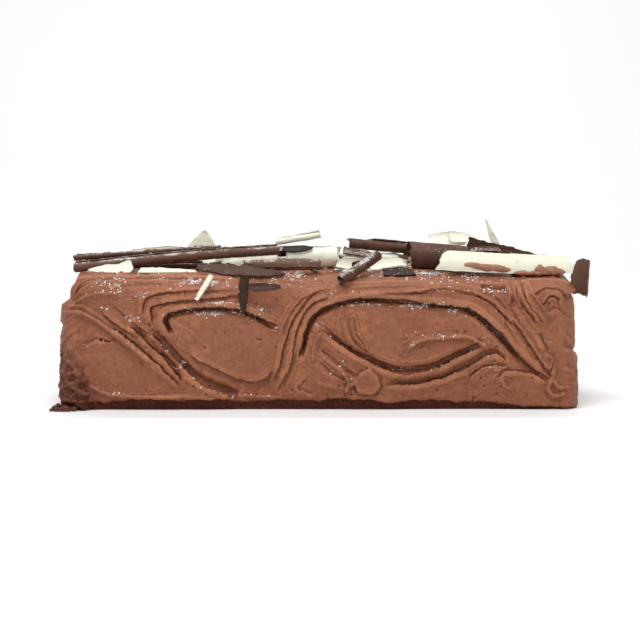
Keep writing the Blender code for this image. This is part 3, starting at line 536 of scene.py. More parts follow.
def spatula_strokes(flat):
    """Height over the mean face, lean across it, and distance to the nearest fold."""
    across, up = flat.T
    height = 0.5 * np.sin(across / 17.0 + 1.3 * np.sin(up / 21.0))
    height += 0.4 * np.sin(up / 13.0 + across / 31.0)
    lean = np.zeros((len(flat), 2))
    stroke = np.full(len(flat), FARTHEST)
    torn = noise(flat, 1.6, 5) + 0.7 * noise(flat, 5.0, 6)
    for points, proud, sunk, reach in FRONT_FOLDS:
        index = near(flat, points, 4 * reach + 5)
        offset, fade, left = follow(flat[index], points)
        offset = offset + RAGGED * torn[index] * fade
        lip = 0.5 + 0.5 * np.tanh(offset / LIP_EDGE)
        swell = proud * np.exp(-np.abs(offset) / SWELL_REACH)
        hollow = sunk * np.exp(-np.abs(offset) / reach)
        height[index] += fade * (lip * swell - (1.0 - lip) * hollow)
        crest = np.exp(-((offset - CREST[0]) / CREST[1]) ** 2)
        lean[index] -= (LEAN * min(proud, MOST_LEANT) * fade * crest)[:, None] * left
        closer = np.abs(offset) < np.abs(stroke[index])
        stroke[index[closer]] = offset[closer]
    for points, bead, reach in FRONT_BEADS:
        index = near(flat, points, 10)
        offset, fade, _ = follow(flat[index], points)
        offset = offset + BEAD_RAGGED * torn[index]
        height[index] += fade * bead * np.exp(-(offset / reach) ** 2)
        closer = np.abs(offset) < np.abs(stroke[index])
        stroke[index[closer]] = offset[closer]
    return height, lean, stroke


def surface_detail(flat, stroke):
    """Streaks the spatula dragged along its folds, small lumps and pits between them."""
    centre, radius, _ = DAB
    beside = unit(np.linalg.norm(flat - np.array(centre), axis=1) - radius)
    patch = unit(0.55 + noise(flat, (21.0, 15.0), 11))
    phase = math.pi * stroke / STREAK_PITCH + 1.1 * noise(flat, 13.0, 12)
    crests = 1.0 - 2.0 * np.abs(np.sin(phase))
    streaks = STREAK_DEPTH * crests * np.exp(-(stroke / STREAK_REACH) ** 2) * patch * beside
    (coarse, coarse_cell), (fine, fine_cell) = LUMPS
    lumps = coarse * noise(flat, coarse_cell, 13) + fine * noise(flat, fine_cell, 14)
    cell, opening, span, deep = PITS
    pits = -deep * unit(noise(flat, cell, 15) - opening) / span
    return streaks + lumps + pits


def dab_height(flat):
    """A pressed dab: flat in the middle, a rim with a few cracks, and a moat round it."""
    centre, radius, height = DAB
    away = flat - np.array(centre)
    angle = np.arctan2(away[:, 1], away[:, 0])
    distance = np.linalg.norm(away, axis=1) + 0.5 * np.sin(3 * angle) + 0.25 * np.sin(7 * angle + 1)
    inside = 0.5 + 0.5 * np.tanh((radius - distance) / 0.35)
    cracks = 0.6 * unit(np.cos(9 * angle) - 0.9) / 0.1
    cracks = cracks * np.exp(-((distance - radius) / 1.2) ** 2)
    moat = 0.35 * np.exp(-((distance - radius - 0.7) / 0.8) ** 2)
    return inside * height * (0.75 + 0.25 * (distance / radius) ** 2) - moat - inside * cracks


def tear_depth(flat):
    """Short cracks in a row along each tear."""
    depth, reach = TEAR
    height = np.zeros(len(flat))
    for points in FRONT_TEARS:
        index = near(flat, points, 4)
        offset, fade, _ = follow(flat[index], points)
        broken = unit(2.5 * noise(flat[index], 1.7, 17) + 0.3)
        height[index] -= depth * fade * broken * np.exp(-(offset / reach) ** 2)
    return height


def wandered(flat, shift, wander):
    """The pattern's own places for a side, shifted and drawn out so that no two sides match."""
    across, up = flat.T
    steep, slow, wide = WANDER_LENGTHS
    moved_across = across + shift[0] + wander * np.sin(up / steep + across / slow)
    moved_up = up + shift[1] + 0.5 * wander * np.sin(across / wide)
    return np.column_stack((moved_across, moved_up))


# ---------------------------------------------------------------- the cake

def block_surface(counts):
    """Lattice places over the surface of a block, and the quads between them."""
    quads = []
    for axis in range(3):
        first, second = (axis + 1) % 3, (axis + 2) % 3
        rows, columns = np.meshgrid(np.arange(counts[first]), np.arange(counts[second]), indexing="ij")
        for level in (0, counts[axis]):
            corners = np.zeros(rows.shape + (4, 3), dtype=int)
            corners[..., axis] = level
            for index, (step, rise) in enumerate(((0, 0), (1, 0), (1, 1), (0, 1))):
                corners[..., index, first] = rows + step
                corners[..., index, second] = columns + rise
            if level == 0:
                corners = corners[..., ::-1, :]
            quads.append(corners.reshape(-1, 4, 3))
    corners = np.concatenate(quads)
    shape = tuple(count + 1 for count in counts)
    keys = np.ravel_multi_index(tuple(np.moveaxis(corners, -1, 0)), shape)
    unique, faces = np.unique(keys, return_inverse=True)
    lattice = np.column_stack(np.unravel_index(unique, shape))
    return lattice / np.array(counts), faces.reshape(-1, 4)


def round_off(places):
    """Move the block's surface onto a bar with rounded edges; return it and its outward normals."""
    low = np.array((-LENGTH / 2 + CORNER[0], -DEPTH / 2 + CORNER[1], 0.0))
    high = np.array((LENGTH / 2 - CORNER[0], DEPTH / 2 - CORNER[1], HEIGHT - CORNER[2]))
    core = np.clip(places, low, high)
    radii = np.array(CORNER)
    square = (places - core) / radii
    length = np.maximum(np.linalg.norm(square, axis=1, keepdims=True), TINY)
    rounded = square * np.abs(square).max(axis=1, keepdims=True) / length
    normals = rounded / radii
    normals /= np.maximum(np.linalg.norm(normals, axis=1, keepdims=True), TINY)
    return core + rounded * radii, normals


def eased(values, start, end):
    """0 before the start and 1 past the end, with a smooth rise between."""
    share = unit((values - start) / (end - start))
    return share * share * (3.0 - 2.0 * share)


def share_of(facing):
    """How much a side's strokes count where the surface faces it by this much."""
    return eased(facing, *SIDE_BLEND)


def top_rise(places):
    """How far the top stands over a flat one: domed along its middle, sagging at the front."""
    near_top = unit((places[:, 2] - HEIGHT + CORNER[2]) / CORNER[2])
    dome = DOME * np.cos(math.pi * np.clip(places[:, 1] / DEPTH, -0.5, 0.5))
    sag = SAG[0] + (SAG[1] - SAG[0]) * unit(2 * places[:, 0] / LENGTH)
    sag = sag * eased(places[:, 0], *SAG_ALONG) * eased(places[:, 1], *SAG_ACROSS)
    return near_top * (dome - sag)


def cake_strokes(places, normals):
    """Displacement and nearest fold over the whole cake, sides giving way round the edges."""
    tilt = np.arcsin(unit(normals[:, 2]))
    unrolled = np.minimum(places[:, 2], HEIGHT - CORNER[2]) + CORNER[2] * tilt
    height = np.zeros(len(places))
    shift = np.zeros(places.shape)
    stroke = np.zeros(len(places))
    total = np.full(len(places), 1e-6)
    steep = np.sqrt(unit(1.0 - normals[:, 2] ** 2))
    for facing, moved, wander, depth in SIDES:
        share = share_of(normals[:, :2] @ np.array(facing))
        index = np.flatnonzero(share > 0.0)
        along = np.array((-facing[1], facing[0], 0.0))
        upward = np.outer(steep, (0.0, 0.0, 1.0)) - np.outer(normals[:, 2], (facing[0], facing[1], 0.0))
        flat = wandered(np.column_stack((places @ along, unrolled))[index], moved, wander)
        side_height, lean, side_stroke = spatula_strokes(flat)
        side_height = depth * side_height + surface_detail(flat, side_stroke)
        if facing == (0, -1):
            side_height += dab_height(flat) + tear_depth(flat)
        height[index] += share[index] * side_height
        shift[index] += depth * share[index, None] * (lean[:, :1] * along + lean[:, 1:] * upward[index])
        stroke[index] += share[index] * side_stroke
        total[index] += share[index]
    share = share_of(normals[:, 2])
    index = np.flatnonzero(share > 0.0)
    flat = wandered(places[index, :2], TOP_SHIFT, TOP_WANDER)
    top_height, lean, top_stroke = spatula_strokes(flat)
    height[index] += share[index] * (TOP_DEPTH * top_height + surface_detail(flat, top_stroke))
    stroke[index] += share[index] * top_stroke
    total += share
    return RELIEF * height / total, RELIEF * shift / total[:, None], stroke / total


def drip_height(places, normals):
    """A crumbly heap against the front left corner, wide at the foot and narrow at the top."""
    x, y, z = places.T
    rise = unit(z / DRIP_HEIGHT)
    foot = (*DRIP_FOOT, DRIP_REACH[0], DRIP_THICKNESS[0])
    top = (*DRIP_TOP, DRIP_REACH[1], DRIP_THICKNESS[1])
    middle_x, middle_y, reach, thickness = (low + (high - low) * rise for low, high in zip(foot, top))
    away = np.hypot(x - middle_x, y - middle_y) / reach * (1.0 + 0.25 * noise(places, 4.0, 23))
    fade = unit((1.0 - rise) / DRIP_TOP_FADE)
    lumps = 0.55 * noise(places, 3.6, 21) + 0.45 * noise(places, 1.9, 22)
    thickness = thickness * (0.35 + 0.65 * unit(-normals[:, 1]))
    return thickness * fade * np.exp(-away**6) * np.clip(0.85 + lumps, 0.1, 2.0)


def end_lean(places, normals):
    """How far the ends stand out of a straight bar's."""
    left = LEFT_BULGE - LEFT_STEP[0] * eased(places[:, 2], *LEFT_STEP[1:])
    right = RIGHT_SPREAD[0] * eased(places[:, 2], *RIGHT_SPREAD[1:])
    return left * share_of(-normals[:, 0]) + right * share_of(normals[:, 0])


def hem_share(places):
    """1 on the bare foot below the buttercream's ragged hem, 0 above it; the material paints it near black as
    shade under the hem.
    """
    around = places[:, :2]
    hem = FOOT_HEIGHT * (1.0 - HEM_FALL[0] * eased(places[:, 0], *HEM_FALL[1:]))
    height, short, long = HEM_WAVES
    hem = hem + height * np.sin(places[:, 0] / short) * np.sin(places[:, 0] / long + places[:, 1])
    hem = hem + 0.7 * noise(around, 5.0, 31) + 0.35 * noise(around, 1.7, 32)
    return unit((hem - places[:, 2]) / HEM_SLOPE)


def pressed_rise(places, normals, pieces):
    """How far the buttercream rises round the pieces pressed into it."""
    height, reach = PRESSED
    low = pieces[pieces[:, 2] < HEIGHT + PRESSED_BAND[1]]
    tree = KDTree(len(low))
    for index, place in enumerate(low.tolist()):
        tree.insert(place, index)
    tree.balance()
    rise = np.zeros(len(places))
    index = np.flatnonzero((places[:, 2] > HEIGHT + PRESSED_BAND[0]) & (normals[:, 2] > 0.05))
    away = np.array([tree.find(place)[2] for place in places[index].tolist()])
    rise[index] = height * np.exp(-(away / reach) ** 2)
    return rise * (1.0 + 0.35 * noise(places, 2.6, 35))


def smoothed(values, faces, rounds):
    """Values averaged over neighbouring places again and again."""
    starts = faces.ravel()
    ends = np.roll(faces, -1, axis=1).ravel()
    degree = np.bincount(starts, minlength=len(values)) + np.bincount(ends, minlength=len(values))
    for _ in range(rounds):
        sums = np.bincount(starts, values[ends], len(values)) + np.bincount(ends, values[starts], len(values))
        values = 0.5 * values + 0.5 * sums / degree
    return values


def sugar_share(places, normals):
    """How thickly icing sugar lies: patches on the front, and a light fall on whatever looks up."""
    fallen = 0.55 * unit((normals[:, 2] - 0.25) / 0.6) * unit(0.35 + noise(places[:, :2], 17.0, 41))
    front = places[:, 1] < 0.0
    for centre, reach, strength in SUGAR_PATCHES:
        away = (places[:, (0, 2)] - np.array(centre)) / (SUGAR_SPREAD[0] * np.array(reach, dtype=float))
        patch = SUGAR_STRENGTH * strength * np.exp(-(away ** 2).sum(axis=1)) * front
        mirrored = places[:, (0, 2)] * np.array((-1, 1)) - np.array(centre)
        mirrored = mirrored / (SUGAR_SPREAD[1] * np.array(reach))
        behind = SUGAR_STRENGTH * strength * np.exp(-(mirrored ** 2).sum(axis=1)) * ~front
        fallen = np.maximum(fallen, np.maximum(patch, behind))
    return fallen


def mesh_object(name, places, faces, material, attributes=()):
    """A smooth mesh object from places in millimetres, with named values at its points."""
    mesh = bpy.data.meshes.new(name)
    mesh.from_pydata((np.asarray(places) * MILLIMETRE).tolist(), [], np.asarray(faces).tolist())
    for label, values in attributes:
        layer = mesh.attributes.new(label, "FLOAT", "POINT")
        layer.data.foreach_set("value", np.asarray(values, dtype=np.float32))
    mesh.materials.append(material)
    mesh.shade_smooth()
    item = bpy.data.objects.new(name, mesh)
    bpy.context.scene.collection.objects.link(item)
    return item


def point_normals(places, faces):
    """Outward normals at the points of a quad mesh."""
    corners = places[faces]
    facing = np.cross(corners[:, 2] - corners[:, 0], corners[:, 3] - corners[:, 1])
    normals = np.zeros(places.shape)
    for corner in range(4):
        for axis in range(3):
            normals[:, axis] += np.bincount(faces[:, corner], facing[:, axis], len(places))
    return normals / np.maximum(np.linalg.norm(normals, axis=1, keepdims=True), TINY)


def build_cake(material, pieces):
    """The cake under its buttercream, with the values that its material reads at each point."""
    size = np.array((LENGTH, DEPTH, HEIGHT))
    counts = tuple(int(side / cell) for side, cell in zip(size, CELLS))
    lattice, faces = block_surface(counts)
    places = (lattice - np.array((0.5, 0.5, 0.0))) * size
    surface, normals = round_off(places)
    on_base = places[:, 2] < WELD
    height, shift, stroke = cake_strokes(surface, normals)
    drip = drip_height(surface, normals)
    hem = hem_share(surface)
    height = height * (1.0 - FOOT_CALM * hem)
    inset = FOOT_RECESS * hem * (END_RECESS + (1.0 - END_RECESS) * normals[:, 1] ** 2)
    lift = height + drip + end_lean(surface, normals) - inset
    surface = surface + (normals * lift[:, None] + shift * (1.0 - hem)[:, None]) * ~on_base[:, None]
    surface[on_base, 1] *= 1.0 - 2 * FOOT_RECESS / DEPTH
    surface[on_base, 2] = 0.0
    surface[:, 2] = np.maximum(surface[:, 2], 0.0)
    surface[:, 2] += top_rise(surface)
    surface += normals * pressed_rise(surface, normals, pieces)[:, None]
    normals = point_normals(surface, faces)
    # Cavity: how far a point lies below its smoothed surroundings; the material paints shade in grooves where
    # it is high and highlight on crests where it is low.
    fine = smoothed(height, faces, CAVITY_ROUNDS[0])
    cavity = smoothed(fine, faces, CAVITY_ROUNDS[1]) - height + CAVITY_SHARPNESS * (fine - height)
    sugar = sugar_share(surface, normals)
    close = unit((CLOSE[0] - np.abs(stroke)) / CLOSE[1])
    attributes = (("cavity", cavity), ("stroke", stroke), ("close", close),
                  ("foot", hem), ("sugar", sugar), ("drip", drip))
    cake = mesh_object("buttercream_cake", surface, faces, material, attributes)
    thin = cake.modifiers.new("Decimate", "DECIMATE")
    thin.ratio = CAKE_TRIANGLES / (2 * len(faces))
    return cake, surface, faces, sugar


# ---------------------------------------------------------------- chocolate shavings

def colour_of(name):
    """A shaving's chocolate: white where its name says so, and dark otherwise."""
    return "white" if name.startswith("white") else "dark"


def coil_section(arc, radius, width):
    """Angle and radius along a sheet coiled from inside out to the given outer radius."""
    turn_growth = COIL_PITCH / (2 * math.pi)
    inner_square = radius**2 - 2 * turn_growth * width
    inner = math.sqrt(max(inner_square, (TIGHTEST * radius) ** 2))
    radii = np.sqrt(inner**2 + 2 * turn_growth * np.maximum(arc, -0.4 * inner**2 / turn_growth))
    return (radii - inner) / turn_growth, radii


def shaving_sheet(form, length, width, radius, shape, seed, edges):
    """The sheet's places as a grid, rows along the shaving and columns round its curl."""
    start, belly, end, start_slant, end_slant = shape
    tightest = 2 * math.pi * TIGHTEST * radius + COIL_PITCH
    width = min(width, tightest * MOST_TURNS) if form == "coil" else width
    rows = max(8, round(length / SHAVING_CELL))
    columns = max(6, round(width / SHAVING_CELL))
    part, turn = np.meshgrid(np.linspace(0, 1, rows + 1), np.linspace(0, 1, columns + 1), indexing="ij")
    share = start + (end - start) * part + 4 * belly * part * (1 - part)
    key = 100 * seed
    edge = np.column_stack((part.ravel() * length, np.full(part.size, key)))
    bite = edges[0] * (0.45 * noise(edge, 2.2, seed + 51) + 0.6 * noise(edge, 6.5, seed + 52))
    edge = edge + 500.0
    other = edges[0] * (0.45 * noise(edge, 2.0, seed + 53) + 0.5 * noise(edge, 7.0, seed + 54))
    bite, other = bite.reshape(part.shape), other.reshape(part.shape)
    wide = width * share
    arc = turn * wide + np.minimum(1.0, wide / RAGGED_WIDTH) * ((1 - turn) * bite + turn * other)
    if form == "coil":
        angle, radii = coil_section(arc, radius, width)
        height = radii * np.sin(angle)
    else:
        angle = (arc - wide / 2) / radius - math.pi / 2
        radii = np.full(part.shape, float(radius))
        height = radii * (np.sin(angle) + 1.0)
    tip = np.column_stack((turn.ravel() * width, np.full(turn.size, key + 40.0)))
    ragged = edges[1] * (0.8 * noise(tip, 2.4, seed + 55) + 0.3 * noise(tip, 1.1, seed + 56))
    ragged = ragged.reshape(part.shape)
    inward = np.abs(2 * part - 1) * length / 2 - (length / 2 - END_REACH)
    ends = np.clip(inward, 0.0, END_REACH) / END_REACH
    first_edge = 1.0 - turn
    slant = np.where(part > 0.5, end_slant * (2 * part - 1), -start_slant * (1 - 2 * part)) * first_edge
    along = (part - 0.5) * length + ragged * ends * min(1.0, length / RAGGED_LENGTH) + slant
    sway = SWAY * length * np.sin(3.0 * part + seed)
    return np.stack((along, radii * np.cos(angle) + sway, height), axis=-1), part, turn


def grid_normals(grid):
    """Unit normals at the points of a grid of places."""
    along = np.gradient(grid, axis=0)
    around = np.gradient(grid, axis=1)
    normals = np.cross(along, around)
    return normals / np.maximum(np.linalg.norm(normals, axis=-1, keepdims=True), TINY)


def shell(grid, thickness):
    """A closed shell over a grid of places, and which of its two faces each point is on."""
    rows, columns = grid.shape[:2]
    normals = grid_normals(grid)
    half = 0.5 * thickness[..., None]
    places = np.concatenate(((grid + normals * half).reshape(-1, 3), (grid - normals * half).reshape(-1, 3)))
    index = np.arange(rows * columns).reshape(rows, columns)
    upper = np.stack((index[:-1, :-1], index[1:, :-1], index[1:, 1:], index[:-1, 1:]), axis=-1).reshape(-1, 4)
    lower = upper[:, ::-1] + rows * columns
    rim = np.concatenate((index[:-1, 0], index[-1, :-1], index[:0:-1, -1], index[0, :0:-1]))
    onward = np.roll(rim, -1)
    edge = np.column_stack((onward, rim, rim + rows * columns, onward + rows * columns))
    return places, np.concatenate((upper, lower, edge[:, ::-1]))


def turned(places, yaw, pitch, roll):
    """The places turned by angles in degrees; a positive pitch lifts the right end."""
    angles = Euler((math.radians(roll), -math.radians(pitch), math.radians(yaw)), "XYZ")
    return places @ np.array(angles.to_matrix()).T


def sheet_relief(colour, part, turn, length, width, seed):
    """How the sheet's face rises and falls: fine lines along it, waves where it wrinkled."""
    flat = np.column_stack((part.ravel() * length, turn.ravel() * width + 77.0 * seed))
    lines = noise(flat, (14.0, 0.9), seed + 61)
    waves = noise(flat, (2.6, 7.0), seed + 62)
    lumps = noise(flat, 3.4, seed + 63)
    relief = (0.09 if colour == "dark" else 0.05) * lines + 0.10 * waves + 0.12 * lumps
    return relief.reshape(part.shape)


def shaving_mesh(colour, form, length, width, radius, shape, turns, seed, sheet=SHEET, edges=None):
    """Places and faces of one shaving, thinner towards its rim and turned as it lies."""
    edges = edges or (1.0, 1.0 if form == "coil" else 1.5)
    grid, part, turn = shaving_sheet(form, length, width, radius, shape, seed, edges)
    grid[..., 1:] *= CURL_SHRINK
    relief = sheet_relief(colour, part, turn, length, width, seed)
    grid = grid + grid_normals(grid) * relief[..., None]
    rim = np.minimum(np.minimum(part, 1 - part) * length, np.minimum(turn, 1 - turn) * width)
    places, faces = shell(grid, sheet * (0.7 + 0.3 * unit(rim / 1.2)))
    return turned(places, *turns), faces


def build_shaving(row, seed, materials):
    """A finished shaving that stands where the frame has the plain one of that name."""
    name, form, length, width, radius, shape, turns = row
    colour = colour_of(name)
    places, faces = shaving_mesh(colour, form, length, width, radius, shape, turns, seed,
                                 THICK.get(name, SHEET), EDGES.get(name))
    low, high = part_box(name)
    centre = (np.array(low) + np.array(high)) / 2 / MILLIMETRE
    places = places - (places.min(axis=0) + places.max(axis=0)) / 2 + centre
    bloom_and_shade, dusted = BLOOMS_AND_SHADE.get(name, (0.5, 1.0))
    marks = (("bloom_and_shade", np.full(len(places), bloom_and_shade)), ("dusted", np.full(len(places), dusted)))
    piece = mesh_object(name + "_shaved", places, faces, materials[colour], marks)
    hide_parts(name)
    return piece, places, faces


# ---------------------------------------------------------------- small things on top

class Heap:
    """The surfaces laid down so far, in millimetres, to drop the next things onto."""

    def __init__(self):
        self.places = np.zeros((0, 3))
        self.faces = np.zeros((0, 4), dtype=int)

    def add(self, places, faces):
        self.faces = np.concatenate((self.faces, np.asarray(faces) + len(self.places)))
        self.places = np.concatenate((self.places, places))

    def tree(self):
        return BVHTree.FromPolygons(self.places.tolist(), self.faces.tolist())


def resting_turns(normal, yaw, tip):
    """A matrix that lays a piece flat on a slope, turned by yaw and tipped up a little."""
    up = Vector(normal).lerp(Vector((0, 0, 1)), SPLINTER_UPRIGHT).normalized()
    lay = up.to_track_quat("Z", "Y").to_matrix()
    spin = Euler((0.0, tip, yaw), "XYZ").to_matrix()
    return np.array(lay @ spin)


def build_splinters(row, heap, seed, material):
    """Small broken pieces of shaving, dropped one after another over the heap."""
    name, form, count, shortest, longest, narrowest, widest, highest = row
    colour = colour_of(name)
    scatter = np.random.RandomState(seed)
    whole = heap.tree()
    pieces = Heap()
    for index in range(count):
        spot = (scatter.uniform(*DROP_ACROSS), scatter.uniform(*DROP_DEPTH))
        length = scatter.uniform(shortest, longest)
        width = scatter.uniform(narrowest, widest)
        shape = (scatter.uniform(0.3, 1.0), scatter.uniform(0.0, 0.5), scatter.uniform(0.2, 1.0), 0, 0)
        yaw, tip, roll = scatter.uniform(-0.5, 0.5), scatter.uniform(-0.2, 0.2), scatter.uniform(0, 360)
        hit, normal, _, _ = whole.ray_cast(Vector((*spot, DROP_HEIGHT)), Vector((0, 0, -1)))
        if hit is None or normal.z < 0.5 or hit.z > highest:
            continue
        radius = width * SPLINTER_CURL[form]
        turns = (0, 0, roll if form == "coil" else 0)
        places, faces = shaving_mesh(colour, form, length, width, radius, shape, turns,
                                     seed + index, SPLINTER_SHEET)
        places = places @ resting_turns(normal, yaw, tip).T
        places = places - (places.min(axis=0) + places.max(axis=0)) / 2
        half = 0.5 * (places[:, 2].max() - places[:, 2].min())
        places = places + np.array(hit) + np.array((0.0, 0.0, SPLINTER_LIFT[form] * half))
        pieces.add(places, faces)
    heap.add(pieces.places, pieces.faces)
    marks = (("bloom_and_shade", np.full(len(pieces.places), 0.5)), ("dusted", np.ones(len(pieces.places))))
    return mesh_object(name, pieces.places, pieces.faces, material, marks)


def grain_mesh(centres, sizes, scatter):
    """Tiny uneven eight-sided grains at the given places."""
    corners = np.array(((1, 0, 0), (-1, 0, 0), (0, 1, 0), (0, -1, 0), (0, 0, 1), (0, 0, -1)), dtype=float)
    sides = np.array(((0, 2, 4), (2, 1, 4), (1, 3, 4), (3, 0, 4), (2, 0, 5), (1, 2, 5), (3, 1, 5), (0, 3, 5)))
    stretch = scatter.uniform(0.6, 1.3, (len(centres), 6, 1))
    places = centres[:, None] + corners * stretch * sizes[:, None, None]
    faces = sides + 6 * np.arange(len(centres))[:, None, None]
    return places.reshape(-1, 3), faces.reshape(-1, 3)


def build_grains(name, places, faces, weights, count, sizes, seed, material):
    """Grains of icing sugar lying on a surface, thickest where the weights are."""
    scatter = np.random.RandomState(seed)
    corners = places[faces]
    normals = np.cross(corners[:, 2] - corners[:, 0], corners[:, 3] - corners[:, 1])
    area = np.linalg.norm(normals, axis=1)
    chance = area * weights[faces].mean(axis=1)
    picked = scatter.choice(len(faces), count, p=chance / chance.sum())
    share = scatter.dirichlet((1, 1, 1, 1), count)[..., None]
    centres = (corners[picked] * share).sum(axis=1)
    centres += 0.1 * normals[picked] / area[picked, None]
    size = scatter.uniform(0.0, 1.0, count) ** 3 * (sizes[1] - sizes[0]) + sizes[0]
    grains, sides = grain_mesh(centres, size, scatter)
    return mesh_object(name, grains, sides, material)


def build_crumbs(name, rows, seed, material):
    """Crumbs lying on the ground and stuck to the cake's foot: uneven little lumps."""
    scatter = np.random.RandomState(seed)
    ball = bmesh.new()
    bmesh.ops.create_icosphere(ball, subdivisions=2, radius=1.0)
    corners = np.array([vertex.co for vertex in ball.verts])
    sides = np.array([[vertex.index for vertex in face.verts] for face in ball.faces])
    ball.free()
    places, faces = [], []
    for low, high, count, smallest, largest in rows:
        for _ in range(count):
            centre = scatter.uniform(low, high)
            size = smallest + (largest - smallest) * scatter.uniform() ** 2
            lump = corners * size * scatter.uniform(0.7, 1.2, 3)
            lump *= 1.0 + 0.35 * noise(corners + centre, 0.8, seed)[:, None]
            centre[2] = max(centre[2], -lump[:, 2].min())
            faces.append(sides + len(corners) * len(places))
            places.append(lump + centre)
    return mesh_object(name, np.concatenate(places), np.concatenate(faces), material)


def build_smear(name, middle, half, slope, thickness, heap_tree, seed, material):
    """Buttercream wiped on from the front: a ragged patch that follows what lies under it."""
    share, side = np.meshgrid(*(np.linspace(-1, 1, count) for count in SMEAR_CELLS), indexing="ij")
    flat = np.column_stack((share.ravel() * half[0], side.ravel() * half[1]))
    waves = (1.0 + 0.45 * noise(flat, 3.0, seed)).reshape(share.shape)
    outline = np.sqrt(np.clip(1 - share**4, 0.01, 1)) * waves
    x = middle[0] + half[0] * share + 0.8 * noise(flat[:, ::-1], 1.6, seed + 2).reshape(share.shape)
    z = middle[1] + slope * half[0] * share + half[1] * side * outline
    grid = np.stack((x, np.full(x.shape, SMEAR_FRONT), z), axis=-1)
    for place in grid.reshape(-1, 3):
        hit = heap_tree.ray_cast(Vector((place[0], SMEAR_START, place[2])), Vector((0, 1, 0)))[0]
        if hit is not None:
            place[1] = hit.y
    lumps = (1.0 + 0.5 * noise(flat, 2.1, seed + 1)).reshape(x.shape)
    deep = thickness * (1 - side**2) * (1 - share**4) * lumps + 0.15
    grid[..., 1] -= 0.3 * deep
    places, faces = shell(grid, deep)
    return mesh_object(name, places, faces, material)


# ---------------------------------------------------------------- materials

class Surface:
    """A Principled material and short ways to add nodes to it; scales are per metre."""

    def __init__(self, name):
        self.material = bpy.data.materials.new(name)
        self.material.use_nodes = True
        self.tree = self.material.node_tree
        self.shader = self.tree.nodes["Principled BSDF"]
        self.place = self.node("ShaderNodeTexCoord").outputs["Object"]

    def node(self, kind, **settings):
        made = self.tree.nodes.new(kind)
        for key, value in settings.items():
            setattr(made, key, value)
        return made

    def link(self, source, target):
        if isinstance(source, (int, float)):
            target.default_value = source
        elif isinstance(source, tuple):
            target.default_value = (*source, 1.0)
        else:
            self.tree.links.new(source, target)

    def noise(self, scale, detail=3.0, stretch=None, roughness=0.55):
        made = self.node("ShaderNodeTexNoise")
        made.inputs["Scale"].default_value = scale
        made.inputs["Detail"].default_value = detail
        made.inputs["Roughness"].default_value = roughness
        place = self.place
        if stretch:
            mapping = self.node("ShaderNodeMapping")
            mapping.inputs["Scale"].default_value = stretch
            self.link(place, mapping.inputs["Vector"])
            place = mapping.outputs["Vector"]
        self.link(place, made.inputs["Vector"])
        return made.outputs["Fac"]

    def attribute(self, name):
        return self.node("ShaderNodeAttribute", attribute_name=name).outputs["Fac"]

    def ramp(self, value, low, high, start=0.0, end=1.0):
        made = self.node("ShaderNodeMapRange", clamp=True)
        for socket, number in zip(("From Min", "From Max", "To Min", "To Max"), (low, high, start, end)):
            made.inputs[socket].default_value = number
        self.link(value, made.inputs["Value"])
        return made.outputs["Result"]

    def maths(self, operation, first, second=0.0):
        made = self.node("ShaderNodeMath", operation=operation)
        self.link(first, made.inputs[0])
        self.link(second, made.inputs[1])
        return made.outputs["Value"]

    def mix(self, share, first, second, blend="MIX"):
        made = self.node("ShaderNodeMix", data_type="RGBA", blend_type=blend)
        self.link(share, made.inputs["Factor"])
        self.link(first, made.inputs["A"])
        self.link(second, made.inputs["B"])
        return made.outputs["Result"]

    def blotch(self, tone, colour, scale, detail=3.0, low=0.3, high=0.7, most=1.0):
        """The tone with blotches of a colour on it, as noise runs from low to high."""
        return self.mix(self.ramp(self.noise(scale, detail), low, high, 0.0, most), tone, colour)

    def specks(self, fine, coarse):
        """Fine specks that gather in coarse clouds."""
        fine, coarse = self.noise(fine, 2.0), self.noise(coarse, 3.0)
        return self.maths("ADD", self.ramp(fine, 0.3, 0.7), self.ramp(coarse, 0.3, 0.7))

    def bump(self, height, distance, before=None):
        made = self.node("ShaderNodeBump")
        made.inputs["Distance"].default_value = distance
        self.link(height, made.inputs["Height"])
        if before is not None:
            self.link(before, made.inputs["Normal"])
        return made.outputs["Normal"]

    def upward(self):
        """How much the surface looks up."""
        split = self.node("ShaderNodeSeparateXYZ")
        self.link(self.node("ShaderNodeNewGeometry").outputs["Normal"], split.inputs["Vector"])
        return split.outputs["Z"]

    def finish(self, colour, roughness, normal):
        self.link(colour, self.shader.inputs["Base Color"])
        self.link(roughness, self.shader.inputs["Roughness"])
        self.link(normal, self.shader.inputs["Normal"])
        return self.material


